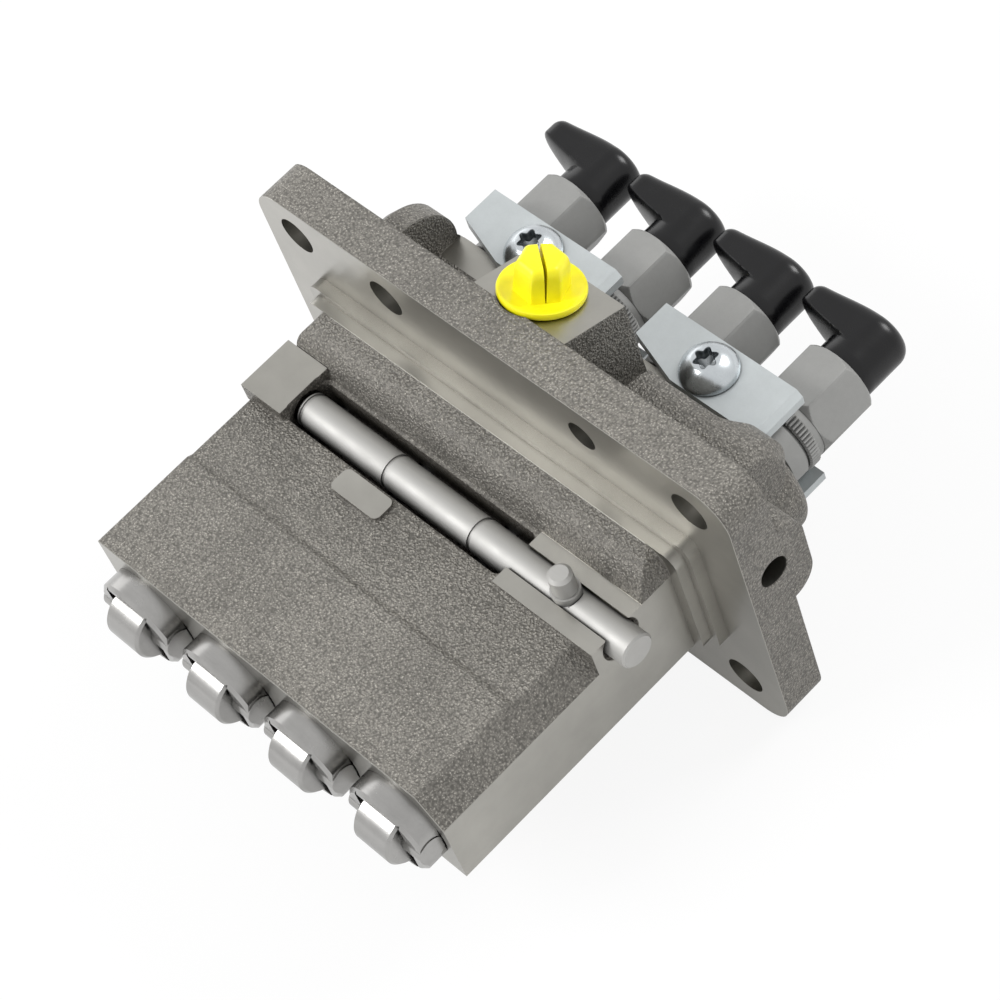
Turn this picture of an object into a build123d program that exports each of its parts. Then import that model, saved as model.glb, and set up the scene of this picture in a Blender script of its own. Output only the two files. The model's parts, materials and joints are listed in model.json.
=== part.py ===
"""Diesel injection pump with four plungers in one row, lying on its back.

X runs along the row, Y runs along the plungers from the roller tappets to the delivery
unions, and Z points out of the side that carries the control rod. The origin is the middle
of the row, on the mounting flange's seat face. All lengths are in millimetres.
"""

import os
from math import asin, cos, degrees, radians, sin, sqrt, tan

from build123d import *

os.makedirs("parts", exist_ok=True)

# Row of plungers
cylinders = 4
pitch = 25.0
row = [(number - (cylinders - 1) / 2) * pitch for number in range(cylinders)]

# Clearances
running_fit = 0.04
turning_fit = 0.05
free_gap = 0.3

# Mounting flange
flange_half_width = 66.2
flange_top = 43.5
flange_bottom = -36.5
flange_thickness = 10.0
flange_corner = 8.0
bolt_hole_radius = 4.5
bolt_x = 55.4
bolt_z_top = 34.5
bolt_z_bottom = -26.5
inner_bolt_x = -28.6
dowel_hole_radius = 3.5
dowel_x = 26.9

# Pilot that centres the pump in the engine block, in two steps
pilot_half_width = 54.5
pilot_top = 22.4
pilot_bottom = -14.0
pilot_height = 2.8
pilot_corner = 3.0
pilot_land_inset = 1.6
pilot_land_height = 2.6

# Body between the flange and the tappets
body_half_width = 50.0
body_end = -70.2
body_back = -12.3
body_top = 13.3
deck_top = 12.7
deck_step = -45.0
end_bevel_low = 5.8
end_bevel_width = 5.5
body_edge_round = 1.2

# Rough bead between the rod channel and the pilot
bead_foot = -13.6
bead_top = 20.6
bead_end_round = 5.0

# Control rod and its channel
rod_radius = 3.95
rod_y = -20.2
rod_z = 9.8
rod_left = -40.2
rod_right = 54.6
rod_chamfer = 0.7
rod_ring_width = 0.9
rod_ring_depth = 0.35
rod_offset = -1.25
rod_travel_left = 2.6
channel_left = -40.5
channel_corner = 2.0
channel_right = 22.5
channel_low = -25.8
channel_high = -14.4
channel_floor = 5.5
rod_slot_half_width = 3.2
rail_top = 13.3
rail_low = -27.4
rail_high = -12.7
rod_bore_chamfer = 0.9

# Pads on the front of the body
corner_pad_top = 15.4
corner_pad_left = -52.4
corner_pad_right = -40.3
corner_pad_low = -26.6
corner_pad_high = -12.9
stop_pad_left = -20.4
stop_pad_right = -6.4
stop_pad_low = -32.0
stop_pad_high = -26.4
stop_pad_top = 13.5

# Pin that the governor lever takes hold of
lever_pin_radius = 2.6
lever_pin_top = 20.4
lever_pin_depth = 4.0
lever_shank_radius = 1.8
lever_collar_radius = 3.1
lever_collar_top = 14.9
lever_spot_depth = 0.7

# Delivery end of the housing
head_end = 28.6
head_half_width = 53.0
head_half_height = 15.6
head_edge_round = 2.5
plate_seat_z = 12.5
plate_seat_start = 22.4
plate_seat_reach = 43.6
plate_seat_corner = 5.0
relief_start = 10.9
pocket_right = 21.0
web_half_width = 3.4
web_end = 38.6

# Inlet boss and its sloping face
inlet_left = -11.3
inlet_right = 14.0
inlet_tilt = 18.4
inlet_centre_y = 17.7
inlet_centre_z = 39.5
inlet_far_y = 26.0
inlet_bore_radius = 6.0
inlet_bore_depth = 17.0
inlet_spot_radius = 9.6
inlet_spot_height = 4.0

# Cast ridge over the fuel gallery, behind the flange
gallery_boss_y = 16.5
gallery_boss_z = 15.4
gallery_boss_radius = 11.5
gallery_boss_left = -49.0
gallery_boss_right = 49.5
gallery_boss_round = 2.5

# Threaded hole in the right-hand end of the flange
side_hole_radius = 3.5
side_hole_depth = 14.0
side_hole_y = 6.9
side_hole_z = 14.8
side_boss_left = 48.0
side_boss_reach = 16.0
side_boss_low = 1.8
side_boss_high = 24.8
side_boss_round = 6.0

# Fuel gallery along the row
gallery_y = 17.0
gallery_z = 8.6
gallery_radius = 2.6
feed_y = 14.0
feed_radius = 2.3
feed_top = 26.0

# Tappet, its bore and its roller
tappet_radius = 10.8
tappet_bottom = -75.6
tappet_length = 25.6
tappet_stroke = 7.0
tappet_chamfer = 0.8
cup_radius = 8.7
cup_floor = -63.5
roller_slot_half_width = 6.2
roller_slot_top = -65.4
roller_radius = 7.0
roller_half_length = 5.0
roller_y = -73.0
roller_pin_radius = 3.2
guide_pin_hole = 3.0
guide_pin_radius = 1.5
guide_pin_y = -55.0
guide_pin_gap = 0.15
guide_groove_radius = 9.5
spring_chamber_radius = 9.6
spring_chamber_top = -32.0

# Plunger, barrel and control sleeve
plunger_radius = 3.0
plunger_top = 16.0
plunger_foot_radius = 3.9
plunger_foot_height = 1.2
vane_half_width = 5.1
vane_thickness = 2.0
vane_low = -45.0
vane_high = -41.0
spill_groove_low = 8.0
spill_groove_high = 10.0
spill_groove_radius = 2.3
spill_groove_width = 1.6
sleeve_outer_radius = 5.3
sleeve_bottom = -46.0
sleeve_top = -14.0
sleeve_slot_top = -33.0
sleeve_bore_radius = 5.8
sleeve_bore_top = -12.0
finger_radius = 0.7
finger_ball_radius = 1.1
finger_arm = 7.0
finger_slot_width = 3.0
finger_swing = 32.0
finger_root_gap = 0.4
finger_pocket_drop = 3.0
finger_pocket_height = 5.0
finger_slot_depth = 1.3
barrel_neck_radius = 4.0
barrel_neck_bottom = -31.0
barrel_radius = 7.5
barrel_top = 24.0
port_radius = 1.25

# Plunger spring and its two seats
seat_thickness = 1.6
seat_lip = 0.7
upper_seat_thickness = 2.0
spring_mean_radius = 7.2
spring_wire_radius = 1.0
spring_turns = 4.5

# Delivery valve, its seat and its spring
valve_seat_radius = 7.4
valve_seat_flange = 3.0
valve_seat_nose_radius = 5.2
valve_seat_top = 30.0
valve_stem_radius = 2.0
valve_head_radius = 3.3
valve_head_height = 2.2
valve_spring_gap = 0.4
valve_spring_mean_radius = 2.5
valve_spring_wire_radius = 0.45
valve_spring_turns = 5.0

# Delivery union screwed into the housing
union_thread_radius = 8.0
union_neck_radius = 8.1
ring_groove_low = 31.6
ring_groove_high = 33.4
ring_groove_radius = 7.1
ring_radius = 8.6
knurl_radius = 9.0
hex_low = 40.0
hex_top = 53.8
hex_across_flats = 17.0
hex_chamfer = 0.9
union_cavity_radius = 5.3
union_spring_radius = 3.6
union_spring_top = 46.0
nipple_radius = 5.9
nipple_top = 64.0
nipple_bore_radius = 1.5

# Protective cap with a side wing
cap_radius = 6.9
cap_bottom = 54.0
cap_roof_gap = 1.0
cap_wall = 2.8
cap_round = 2.2
wing_angle = 17.0
wing_reach = 16.8
wing_tip_radius = 2.7
wing_low_at_body = 59.2
wing_low_at_tip = 62.2

# Lock plates and their screws
plate_half_length = 18.5
plate_low = 26.7
plate_high = 39.9
plate_thickness = 3.5
plate_x = (row[-1] + row[-2]) / 2
plate_bevel = 1.4
plate_cut_x = 13.6
plate_cut_y = 4.2
tooth_half_width = 3.0
tooth_low = 34.2
tooth_high = 39.0
lock_screw_y = 33.0
lock_screw_radius = 2.5
lock_screw_length = 10.0
screw_head_radius = 6.3
screw_head_height = 5.0
screw_head_edge = 0.8
screw_recess_radius = 2.6
screw_recess_depth = 2.6

# Transport plug in the inlet
plug_flange_radius = 9.0
plug_flange_height = 1.8
plug_shank_length = 9.0
plug_hex_radius = 5.6
plug_hex_height = 5.0
plug_dome_height = 2.4
plug_dome_taper = 35.0
plug_turn = -35.0
plug_slot_width = 1.2
plug_slot_depth = 7.0

# Places worked out from the sizes above
ring_centre_radius = (ring_groove_radius + ring_radius) / 2
finger_length = finger_arm - barrel_neck_radius - turning_fit - finger_root_gap
pad_root = deck_top - 2 * body_edge_round
hex_corner = hex_across_flats / 2 / cos(radians(30))
hex_cone_width = hex_corner - knurl_radius
cap_roof = nipple_top + cap_roof_gap
cap_top = cap_roof + cap_wall
rod_bore_left = rod_left - rod_travel_left - free_gap
tappet_top = tappet_bottom + tappet_length
tappet_bore_top = tappet_top + tappet_stroke + free_gap * 2
upper_seat_low = spring_chamber_top - upper_seat_thickness
lower_seat_top = cup_floor + seat_thickness
valve_seat_low = barrel_top
union_bottom = valve_seat_low + valve_seat_flange
finger_angle = degrees(asin(rod_offset / finger_arm))
finger_sweep = finger_arm * sin(radians(finger_swing)) + finger_ball_radius + free_gap * 2
wing_back = (cos(radians(wing_angle)), 0, -sin(radians(wing_angle)))
wing_side = (sin(radians(wing_angle)), 0, cos(radians(wing_angle)))
inlet_normal = (0, sin(radians(inlet_tilt)), cos(radians(inlet_tilt)))
inlet_plane = Plane(
    origin=(0, inlet_centre_y, inlet_centre_z), x_dir=(1, 0, 0), z_dir=inlet_normal
)


def inlet_height(y):
    """Height of the sloping inlet face at a place along Y."""
    return inlet_centre_z - (y - inlet_centre_y) * tan(radians(inlet_tilt))


def axis_plane(x):
    """Plane through one plunger axis: local x is the radius and local y runs along Y."""
    return Plane(origin=(x, 0, 0), x_dir=(1, 0, 0), z_dir=(0, 0, 1))


def cross_plane(x, y):
    """Plane across one plunger axis: local x is X and local y is Z."""
    return Plane(origin=(x, y, 0), x_dir=(1, 0, 0), z_dir=(0, -1, 0))


def plunger_axis(x):
    """Axis of one plunger."""
    return Axis((x, 0, 0), (0, 1, 0))


def turned_plane(x, angle):
    """Plane through a plunger axis, turned about it, with local x pointing to the finger."""
    return Plane(
        origin=(x, 0, 0),
        x_dir=(sin(radians(angle)), 0, cos(radians(angle))),
        z_dir=(0, 1, 0),
    )


def write(piece, name):
    """Label one finished piece and write it."""
    piece.part.label = name
    export_step(piece.part, f"parts/{name}.step")


# Housing: flange, pilot, body and delivery end, in one casting
bead_height = bead_top - deck_top
bead_depth = -bead_foot - pilot_height - pilot_land_height

with BuildPart() as housing:
    with BuildSketch(Plane.YZ):
        with BuildLine():
            Polyline(
                (bead_foot, deck_top),
                (deck_step + 1.2, deck_top),
                (deck_step, body_top),
                (body_end, body_top),
                (body_end, body_back),
                (0, body_back),
                (0, bead_top),
                (-pilot_height - pilot_land_height, bead_top),
            )
            Spline(
                (-pilot_height - pilot_land_height, bead_top),
                (bead_foot + bead_depth * 0.45, deck_top + bead_height * 0.82),
                (bead_foot, deck_top),
                tangents=[(-1, -0.2), (-0.3, -1)],
            )
        make_face()
    extrude(amount=body_half_width, both=True)
    with BuildSketch(Plane.XZ.offset(-body_end)):
        with BuildLine():
            Polyline(
                (body_half_width, end_bevel_low),
                (body_half_width - end_bevel_width, body_top),
                (body_half_width, body_top),
                close=True,
            )
        make_face()
    extrude(amount=body_end - rail_low, mode=Mode.SUBTRACT)
    for side in (-1, 1):
        with BuildSketch(Plane.XZ.offset(pilot_height + pilot_land_height)):
            with Locations((side * body_half_width, bead_top)):
                Rectangle(2 * bead_end_round, 2 * bead_end_round)
            with Locations((side * (body_half_width - bead_end_round), bead_top - bead_end_round)):
                Circle(bead_end_round, mode=Mode.SUBTRACT)
        extrude(amount=bead_depth, mode=Mode.SUBTRACT)
    with BuildSketch(Plane.XZ):
        with Locations((0, (pilot_top + pilot_bottom) / 2)):
            RectangleRounded(2 * pilot_half_width, pilot_top - pilot_bottom, pilot_corner)
    extrude(amount=pilot_height)
    with BuildSketch(Plane.XZ.offset(pilot_height)):
        with Locations((0, (pilot_top + pilot_bottom) / 2)):
            RectangleRounded(
                2 * (pilot_half_width - pilot_land_inset),
                pilot_top - pilot_bottom - 2 * pilot_land_inset,
                pilot_corner,
            )
    extrude(amount=pilot_land_height)
    with BuildSketch(Plane.XZ):
        with Locations((0, (flange_top + flange_bottom) / 2)):
            RectangleRounded(2 * flange_half_width, flange_top - flange_bottom, flange_corner)
    extrude(amount=-flange_thickness)
    with BuildSketch(Plane.XZ.offset(-flange_thickness)):
        SlotOverall(2 * head_half_width, 2 * head_half_height)
    extrude(amount=-(head_end - flange_thickness))
    fillet(housing.faces().sort_by(Axis.Y)[-1].edges(), head_edge_round)
    with BuildSketch(Plane.YZ.offset(gallery_boss_left)):
        with Locations((gallery_boss_y, gallery_boss_z)):
            Circle(gallery_boss_radius)
    extrude(amount=gallery_boss_right - gallery_boss_left)
    for end, outward in ((gallery_boss_left, -1), (gallery_boss_right, 1)):
        with BuildSketch(Plane.YZ.offset(end)):
            with Locations((gallery_boss_y, gallery_boss_z)):
                Circle(gallery_boss_radius)
        extrude(amount=outward * gallery_boss_round, taper=45)
    with BuildSketch(Plane.YZ.offset(inlet_left)):
        with BuildLine():
            Polyline(
                (0, 0),
                (0, flange_top - 2),
                (flange_thickness * 0.6, inlet_height(flange_thickness * 0.6)),
                (inlet_far_y, inlet_height(inlet_far_y)),
                (inlet_far_y, 0),
                close=True,
            )
        make_face()
    extrude(amount=inlet_right - inlet_left)
    with BuildSketch(Plane.YZ.offset(side_boss_left)):
        with Locations((side_boss_reach / 2 - side_boss_round, (side_boss_low + side_boss_high) / 2)):
            RectangleRounded(
                side_boss_reach + 2 * side_boss_round,
                side_boss_high - side_boss_low,
                side_boss_round,
            )
        with Locations((-flange_thickness, side_hole_z)):
            Rectangle(2 * flange_thickness, 2 * side_boss_high, mode=Mode.SUBTRACT)
    extrude(amount=flange_half_width - side_boss_left)
    for side in (-1, 1):
        with BuildSketch(Plane.XZ.offset(-head_end)):
            with Locations((side * plate_x, 0)):
                Rectangle(2 * web_half_width, 2 * plate_seat_z)
        extrude(amount=-(web_end - head_end))
    with BuildSketch(Plane.XY.offset(pad_root)):
        with Locations(
            ((corner_pad_right + corner_pad_left) / 2, (corner_pad_low + corner_pad_high) / 2)
        ):
            Rectangle(corner_pad_right - corner_pad_left, corner_pad_high - corner_pad_low)
    extrude(amount=corner_pad_top - pad_root)
    with BuildSketch(Plane.XY.offset(pad_root)):
        with Locations(((stop_pad_left + stop_pad_right) / 2, (stop_pad_low + stop_pad_high) / 2)):
            RectangleRounded(stop_pad_right - stop_pad_left, stop_pad_high - stop_pad_low, 1.5)
    extrude(amount=stop_pad_top - pad_root)
    with BuildSketch(Plane.XY.offset(pad_root)):
        with Locations(((channel_right + body_half_width) / 2, (rail_low + rail_high) / 2)):
            Rectangle(body_half_width - channel_right, rail_high - rail_low)
    extrude(amount=rail_top - pad_root)
    # Milled seats for the lock plates: flat areas of x and y limits, cut outwards
    front_cuts = (
        (-plate_seat_reach, inlet_left, relief_start),
        (inlet_right, pocket_right, relief_start),
        (inlet_right, plate_seat_reach, plate_seat_start),
        (inlet_left - plate_seat_corner, inlet_right + plate_seat_corner, inlet_far_y),
    )
    for left, right, start in front_cuts:
        with BuildSketch(Plane.XY.offset(plate_seat_z)):
            with Locations(((left + right) / 2, (start + web_end) / 2 + plate_seat_corner)):
                RectangleRounded(
                    right - left,
                    web_end - start + 2 * plate_seat_corner,
                    min(plate_seat_corner, (right - left) * 0.45),
                )
        extrude(amount=inlet_centre_z, mode=Mode.SUBTRACT)
    with BuildSketch(Plane.XY.offset(-plate_seat_z)):
        with Locations((0, (plate_seat_start + web_end) / 2 + plate_seat_corner)):
            RectangleRounded(
                2 * plate_seat_reach,
                web_end - plate_seat_start + 2 * plate_seat_corner,
                plate_seat_corner,
            )
    extrude(amount=-inlet_centre_z, mode=Mode.SUBTRACT)
    # Rod channel, wide and open on the left, a slotted bore on the right
    with BuildSketch(Plane.YZ.offset(rod_bore_left)):
        with Locations((rod_y, rod_z)):
            Circle(rod_radius + running_fit)
    extrude(amount=body_half_width - rod_bore_left, mode=Mode.SUBTRACT)
    with BuildSketch(Plane.XY.offset(channel_floor)):
        with Locations(((channel_left + channel_right) / 2, (channel_low + channel_high) / 2)):
            RectangleRounded(channel_right - channel_left, channel_high - channel_low, channel_corner)
    extrude(amount=bead_top - channel_floor, mode=Mode.SUBTRACT)
    with BuildSketch(Plane.XY.offset(rod_z)):
        with Locations(((channel_right + body_half_width) / 2, rod_y)):
            Rectangle(body_half_width - channel_right + 1, 2 * rod_slot_half_width)
    extrude(amount=bead_top - rod_z, mode=Mode.SUBTRACT)
    with BuildSketch(Plane.YZ.offset(body_half_width)):
        with Locations((rod_y, rod_z)):
            Circle(rod_radius + running_fit + rod_bore_chamfer)
    extrude(amount=-rod_bore_chamfer, taper=44, mode=Mode.SUBTRACT)
    # Bores along each plunger axis
    for x in row:
        with BuildSketch(axis_plane(x)):
            with BuildLine():
                Polyline(
                    (0, body_end),
                    (tappet_radius + running_fit, body_end),
                    (tappet_radius + running_fit, tappet_bore_top),
                    (spring_chamber_radius, tappet_bore_top),
                    (spring_chamber_radius, spring_chamber_top),
                    (sleeve_bore_radius, spring_chamber_top),
                    (sleeve_bore_radius, sleeve_bore_top),
                    (barrel_radius, sleeve_bore_top),
                    (barrel_radius, barrel_top),
                    (union_thread_radius, barrel_top),
                    (union_thread_radius, head_end),
                    (0, head_end),
                    close=True,
                )
            make_face()
        revolve(axis=plunger_axis(x), mode=Mode.SUBTRACT)
        with BuildSketch(Plane.XY.offset(rod_z - rod_radius - finger_pocket_drop)):
            with Locations((x, rod_y)):
                Rectangle(2 * finger_sweep, 2 * (finger_ball_radius + free_gap * 2))
        extrude(amount=finger_pocket_height, mode=Mode.SUBTRACT)
        with BuildSketch(Plane.XY.offset(body_back)):
            with Locations((x, guide_pin_y)):
                Circle(guide_pin_radius)
        extrude(amount=guide_pin_hole, mode=Mode.SUBTRACT)
    # Fuel gallery, inlet bore, side hole and the holes in the flange
    with BuildSketch(Plane.YZ.offset(row[0])):
        with Locations((gallery_y, gallery_z)):
            Circle(gallery_radius)
    extrude(amount=row[-1] - row[0], mode=Mode.SUBTRACT)
    with BuildSketch(Plane.XY.offset(gallery_z)):
        with Locations((0, feed_y)):
            Circle(feed_radius)
    extrude(amount=feed_top - gallery_z, mode=Mode.SUBTRACT)
    with BuildSketch(inlet_plane):
        Circle(inlet_bore_radius)
    extrude(amount=-inlet_bore_depth, mode=Mode.SUBTRACT)
    with BuildSketch(inlet_plane):
        Circle(inlet_spot_radius)
    extrude(amount=inlet_spot_height, mode=Mode.SUBTRACT)
    with BuildSketch(Plane.YZ.offset(flange_half_width)):
        with Locations((side_hole_y, side_hole_z)):
            Circle(side_hole_radius)
    extrude(amount=-side_hole_depth, mode=Mode.SUBTRACT)
    with BuildSketch(Plane.XZ):
        for x in (-bolt_x, bolt_x):
            for z in (bolt_z_top, bolt_z_bottom):
                with Locations((x, z)):
                    Circle(bolt_hole_radius)
        with Locations((inner_bolt_x, bolt_z_top)):
            Circle(bolt_hole_radius)
        with Locations((dowel_x, bolt_z_top)):
            Circle(dowel_hole_radius)
    extrude(amount=-flange_thickness, mode=Mode.SUBTRACT)
    for x in (-plate_x, plate_x):
        with BuildSketch(Plane.XY.offset(-plate_seat_z)):
            with Locations((x, lock_screw_y)):
                Circle(lock_screw_radius)
        extrude(amount=2 * plate_seat_z, mode=Mode.SUBTRACT)
write(housing, "housing")

# Barrels, one solid for each plunger
with BuildPart() as barrels:
    for x in row:
        with BuildSketch(axis_plane(x)):
            with BuildLine():
                Polyline(
                    (plunger_radius + running_fit, barrel_neck_bottom),
                    (barrel_neck_radius, barrel_neck_bottom),
                    (barrel_neck_radius, sleeve_bore_top),
                    (barrel_radius, sleeve_bore_top),
                    (barrel_radius, barrel_top),
                    (plunger_radius + running_fit, barrel_top),
                    close=True,
                )
            make_face()
        revolve(axis=plunger_axis(x))
        with BuildSketch(Plane.XY):
            with Locations((x, gallery_y)):
                Circle(port_radius)
        extrude(amount=barrel_radius, mode=Mode.SUBTRACT)
write(barrels, "barrels")

# Delivery valve seats, clamped between barrel and union
with BuildPart() as valve_seats:
    for x in row:
        with BuildSketch(axis_plane(x)):
            with BuildLine():
                Polyline(
                    (valve_stem_radius + running_fit, valve_seat_low),
                    (valve_seat_radius, valve_seat_low),
                    (valve_seat_radius, union_bottom),
                    (valve_seat_nose_radius, union_bottom),
                    (valve_seat_nose_radius, valve_seat_top),
                    (valve_stem_radius + running_fit, valve_seat_top),
                    close=True,
                )
            make_face()
        revolve(axis=plunger_axis(x))
write(valve_seats, "valve_seats")

# Upper spring seats against the roof of each spring chamber
with BuildPart() as upper_spring_seats:
    for x in row:
        with BuildSketch(cross_plane(x, upper_seat_low)):
            Circle(spring_chamber_radius - free_gap)
            Circle(sleeve_bore_radius, mode=Mode.SUBTRACT)
        extrude(amount=-upper_seat_thickness)
write(upper_spring_seats, "upper_spring_seats")

# Pins through the back wall that keep the tappets from turning
with BuildPart() as tappet_guide_pins:
    with BuildSketch(Plane.XY.offset(body_back)):
        for x in row:
            with Locations((x, guide_pin_y)):
                Circle(guide_pin_radius)
    extrude(amount=-body_back - guide_groove_radius - guide_pin_gap)
write(tappet_guide_pins, "tappet_guide_pins")

# Sealing rings in the groove under each union's knurl
with BuildPart() as union_sealing_rings:
    for x in row:
        with BuildSketch(axis_plane(x)):
            with Locations((ring_centre_radius, (ring_groove_low + ring_groove_high) / 2)):
                Ellipse((ring_radius - ring_groove_radius) / 2, (ring_groove_high - ring_groove_low) / 2)
        revolve(axis=plunger_axis(x))
write(union_sealing_rings, "union_sealing_rings")

# Control rod with a ring and a finger slot at each sleeve
lever_pin_foot = rod_z + rod_radius - lever_pin_depth
lever_spot_z = rod_z + rod_radius - lever_spot_depth
with BuildPart() as control_rod:
    with BuildSketch(Plane.YZ.offset(rod_left)):
        with Locations((rod_y, rod_z)):
            Circle(rod_radius)
    extrude(amount=rod_right - rod_left)
    chamfer(control_rod.edges().group_by(Axis.X)[0], rod_chamfer)
    chamfer(control_rod.edges().group_by(Axis.X)[-1], rod_chamfer * 0.6)
    for x in row:
        with BuildSketch(Plane.YZ.offset(x + rod_offset - rod_ring_width / 2)):
            with Locations((rod_y, rod_z)):
                Circle(rod_radius + free_gap)
                Circle(rod_radius - rod_ring_depth, mode=Mode.SUBTRACT)
        extrude(amount=rod_ring_width, mode=Mode.SUBTRACT)
        with BuildSketch(Plane.YZ.offset(x + rod_offset - finger_slot_width / 2)):
            with Locations((rod_y, rod_z - finger_slot_depth - rod_radius)):
                Rectangle(3 * rod_radius, 2 * rod_radius)
        extrude(amount=finger_slot_width, mode=Mode.SUBTRACT)
    with BuildSketch(Plane.XY.offset(lever_pin_foot)):
        with Locations((row[-1] + rod_offset, rod_y)):
            Circle(lever_shank_radius)
    extrude(amount=lever_pin_depth, mode=Mode.SUBTRACT)
    with BuildSketch(Plane.XY.offset(lever_spot_z)):
        with Locations((row[-1] + rod_offset, rod_y)):
            Circle(lever_collar_radius + free_gap)
    extrude(amount=lever_spot_depth, mode=Mode.SUBTRACT)
write(control_rod, "control_rod")

# Lever pin pressed into the control rod
with BuildPart() as lever_pin:
    for foot, top, radius in (
        (lever_pin_foot, lever_spot_z, lever_shank_radius),
        (lever_spot_z, lever_collar_top, lever_collar_radius),
        (lever_collar_top, lever_pin_top, lever_pin_radius),
    ):
        with BuildSketch(Plane.XY.offset(foot)):
            with Locations((row[-1] + rod_offset, rod_y)):
                Circle(radius)
        extrude(amount=top - foot)
    chamfer(lever_pin.edges().group_by(Axis.Z)[-1], rod_chamfer)
write(lever_pin, "lever_pin")

# The set of moving pieces under each plunger
for number, x in enumerate(row, start=1):
    finger_plane = turned_plane(x, finger_angle)

    with BuildPart() as control_sleeve:
        with BuildSketch(cross_plane(x, sleeve_bottom)):
            Circle(sleeve_outer_radius)
            Circle(barrel_neck_radius + turning_fit, mode=Mode.SUBTRACT)
        extrude(amount=sleeve_bottom - sleeve_top)
        with BuildSketch(finger_plane.offset(sleeve_bottom)):
            Rectangle(vane_thickness + free_gap, 3 * sleeve_outer_radius)
        extrude(amount=sleeve_slot_top - sleeve_bottom, mode=Mode.SUBTRACT)
        finger_base = Plane(
            origin=(x, rod_y, 0), x_dir=(0, 1, 0), z_dir=finger_plane.x_dir
        ).offset(finger_arm - finger_length)
        with BuildSketch(finger_base):
            Circle(finger_radius)
        extrude(amount=finger_length)
        with Locations(finger_base.origin + finger_base.z_dir * finger_length):
            Sphere(finger_ball_radius)
    write(control_sleeve, f"control_sleeve_{number}")

    with BuildPart() as plunger:
        with BuildSketch(axis_plane(x)):
            with BuildLine():
                Polyline(
                    (0, cup_floor),
                    (plunger_foot_radius, cup_floor),
                    (plunger_foot_radius, cup_floor + plunger_foot_height),
                    (plunger_radius, cup_floor + plunger_foot_height),
                    (plunger_radius, spill_groove_low),
                    (spill_groove_radius, spill_groove_low),
                    (spill_groove_radius, spill_groove_high),
                    (plunger_radius, spill_groove_high),
                    (plunger_radius, plunger_top),
                    (0, plunger_top),
                    close=True,
                )
            make_face()
        revolve(axis=plunger_axis(x))
        with BuildSketch(finger_plane.offset(vane_low)):
            Rectangle(vane_thickness, 2 * vane_half_width)
        extrude(amount=vane_high - vane_low)
        with BuildSketch(finger_plane.offset(spill_groove_low)):
            with Locations((plunger_radius, 0)):
                Rectangle(2 * (plunger_radius - spill_groove_radius), spill_groove_width)
        extrude(amount=plunger_top - spill_groove_low, mode=Mode.SUBTRACT)
    write(plunger, f"plunger_{number}")

    with BuildPart() as tappet:
        with BuildSketch(axis_plane(x)):
            with BuildLine():
                Polyline(
                    (0, tappet_bottom),
                    (tappet_radius - tappet_chamfer, tappet_bottom),
                    (tappet_radius, tappet_bottom + tappet_chamfer),
                    (tappet_radius, tappet_top),
                    (cup_radius, tappet_top),
                    (cup_radius, cup_floor),
                    (0, cup_floor),
                    close=True,
                )
            make_face()
        revolve(axis=plunger_axis(x))
        with BuildSketch(cross_plane(x, tappet_bottom)):
            Rectangle(2 * roller_slot_half_width, 3 * tappet_radius)
        extrude(amount=tappet_bottom - roller_slot_top, mode=Mode.SUBTRACT)
        with BuildSketch(Plane.YZ.offset(x)):
            with Locations((roller_y, 0)):
                Circle(roller_pin_radius)
        extrude(amount=tappet_radius, both=True, mode=Mode.SUBTRACT)
        with BuildSketch(Plane.XY.offset(-guide_groove_radius)):
            with Locations((x, guide_pin_y - tappet_stroke / 2)):
                SlotOverall(
                    tappet_stroke + 2 * (guide_pin_radius + free_gap),
                    2 * (guide_pin_radius + turning_fit),
                    rotation=90,
                )
        extrude(amount=-tappet_radius, mode=Mode.SUBTRACT)
    write(tappet, f"tappet_{number}")

    roller_pin_half_length = sqrt(tappet_radius**2 - roller_pin_radius**2) - 0.1
    with BuildPart() as roller_pin:
        with BuildSketch(Plane.YZ.offset(x)):
            with Locations((roller_y, 0)):
                Circle(roller_pin_radius)
        extrude(amount=roller_pin_half_length, both=True)
    write(roller_pin, f"roller_pin_{number}")

    with BuildPart() as roller:
        with BuildSketch(Plane.YZ.offset(x)):
            with Locations((roller_y, 0)):
                Circle(roller_radius)
                Circle(roller_pin_radius + running_fit, mode=Mode.SUBTRACT)
        extrude(amount=roller_half_length, both=True)
        rims = roller.edges().filter_by(GeomType.CIRCLE).sort_by(SortBy.RADIUS)[-2:]
        chamfer(rims, 0.6)
    write(roller, f"roller_{number}")

    with BuildPart() as lower_spring_seat:
        with BuildSketch(axis_plane(x)):
            with BuildLine():
                Polyline(
                    (plunger_foot_radius + free_gap, cup_floor),
                    (cup_radius - free_gap, cup_floor),
                    (cup_radius - free_gap, lower_seat_top),
                    (plunger_foot_radius + free_gap, lower_seat_top),
                    (plunger_foot_radius + free_gap, lower_seat_top + seat_lip),
                    (plunger_radius + free_gap, lower_seat_top + seat_lip),
                    (plunger_radius + free_gap, lower_seat_top - 0.1),
                    (plunger_foot_radius + free_gap, lower_seat_top - 0.1),
                    close=True,
                )
            make_face()
        revolve(axis=plunger_axis(x))
    write(lower_spring_seat, f"lower_spring_seat_{number}")

    plunger_spring_height = upper_seat_low - lower_seat_top - 2 * spring_wire_radius
    with BuildPart() as plunger_spring:
        with BuildLine() as spring_path:
            Helix(
                plunger_spring_height / spring_turns,
                plunger_spring_height,
                spring_mean_radius,
                center=(x, lower_seat_top + spring_wire_radius, 0),
                direction=(0, 1, 0),
            )
        with BuildSketch(Plane(origin=spring_path.line @ 0, z_dir=spring_path.line % 0)):
            RegularPolygon(spring_wire_radius, 6)
        sweep(is_frenet=True)
    write(plunger_spring, f"plunger_spring_{number}")

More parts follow.
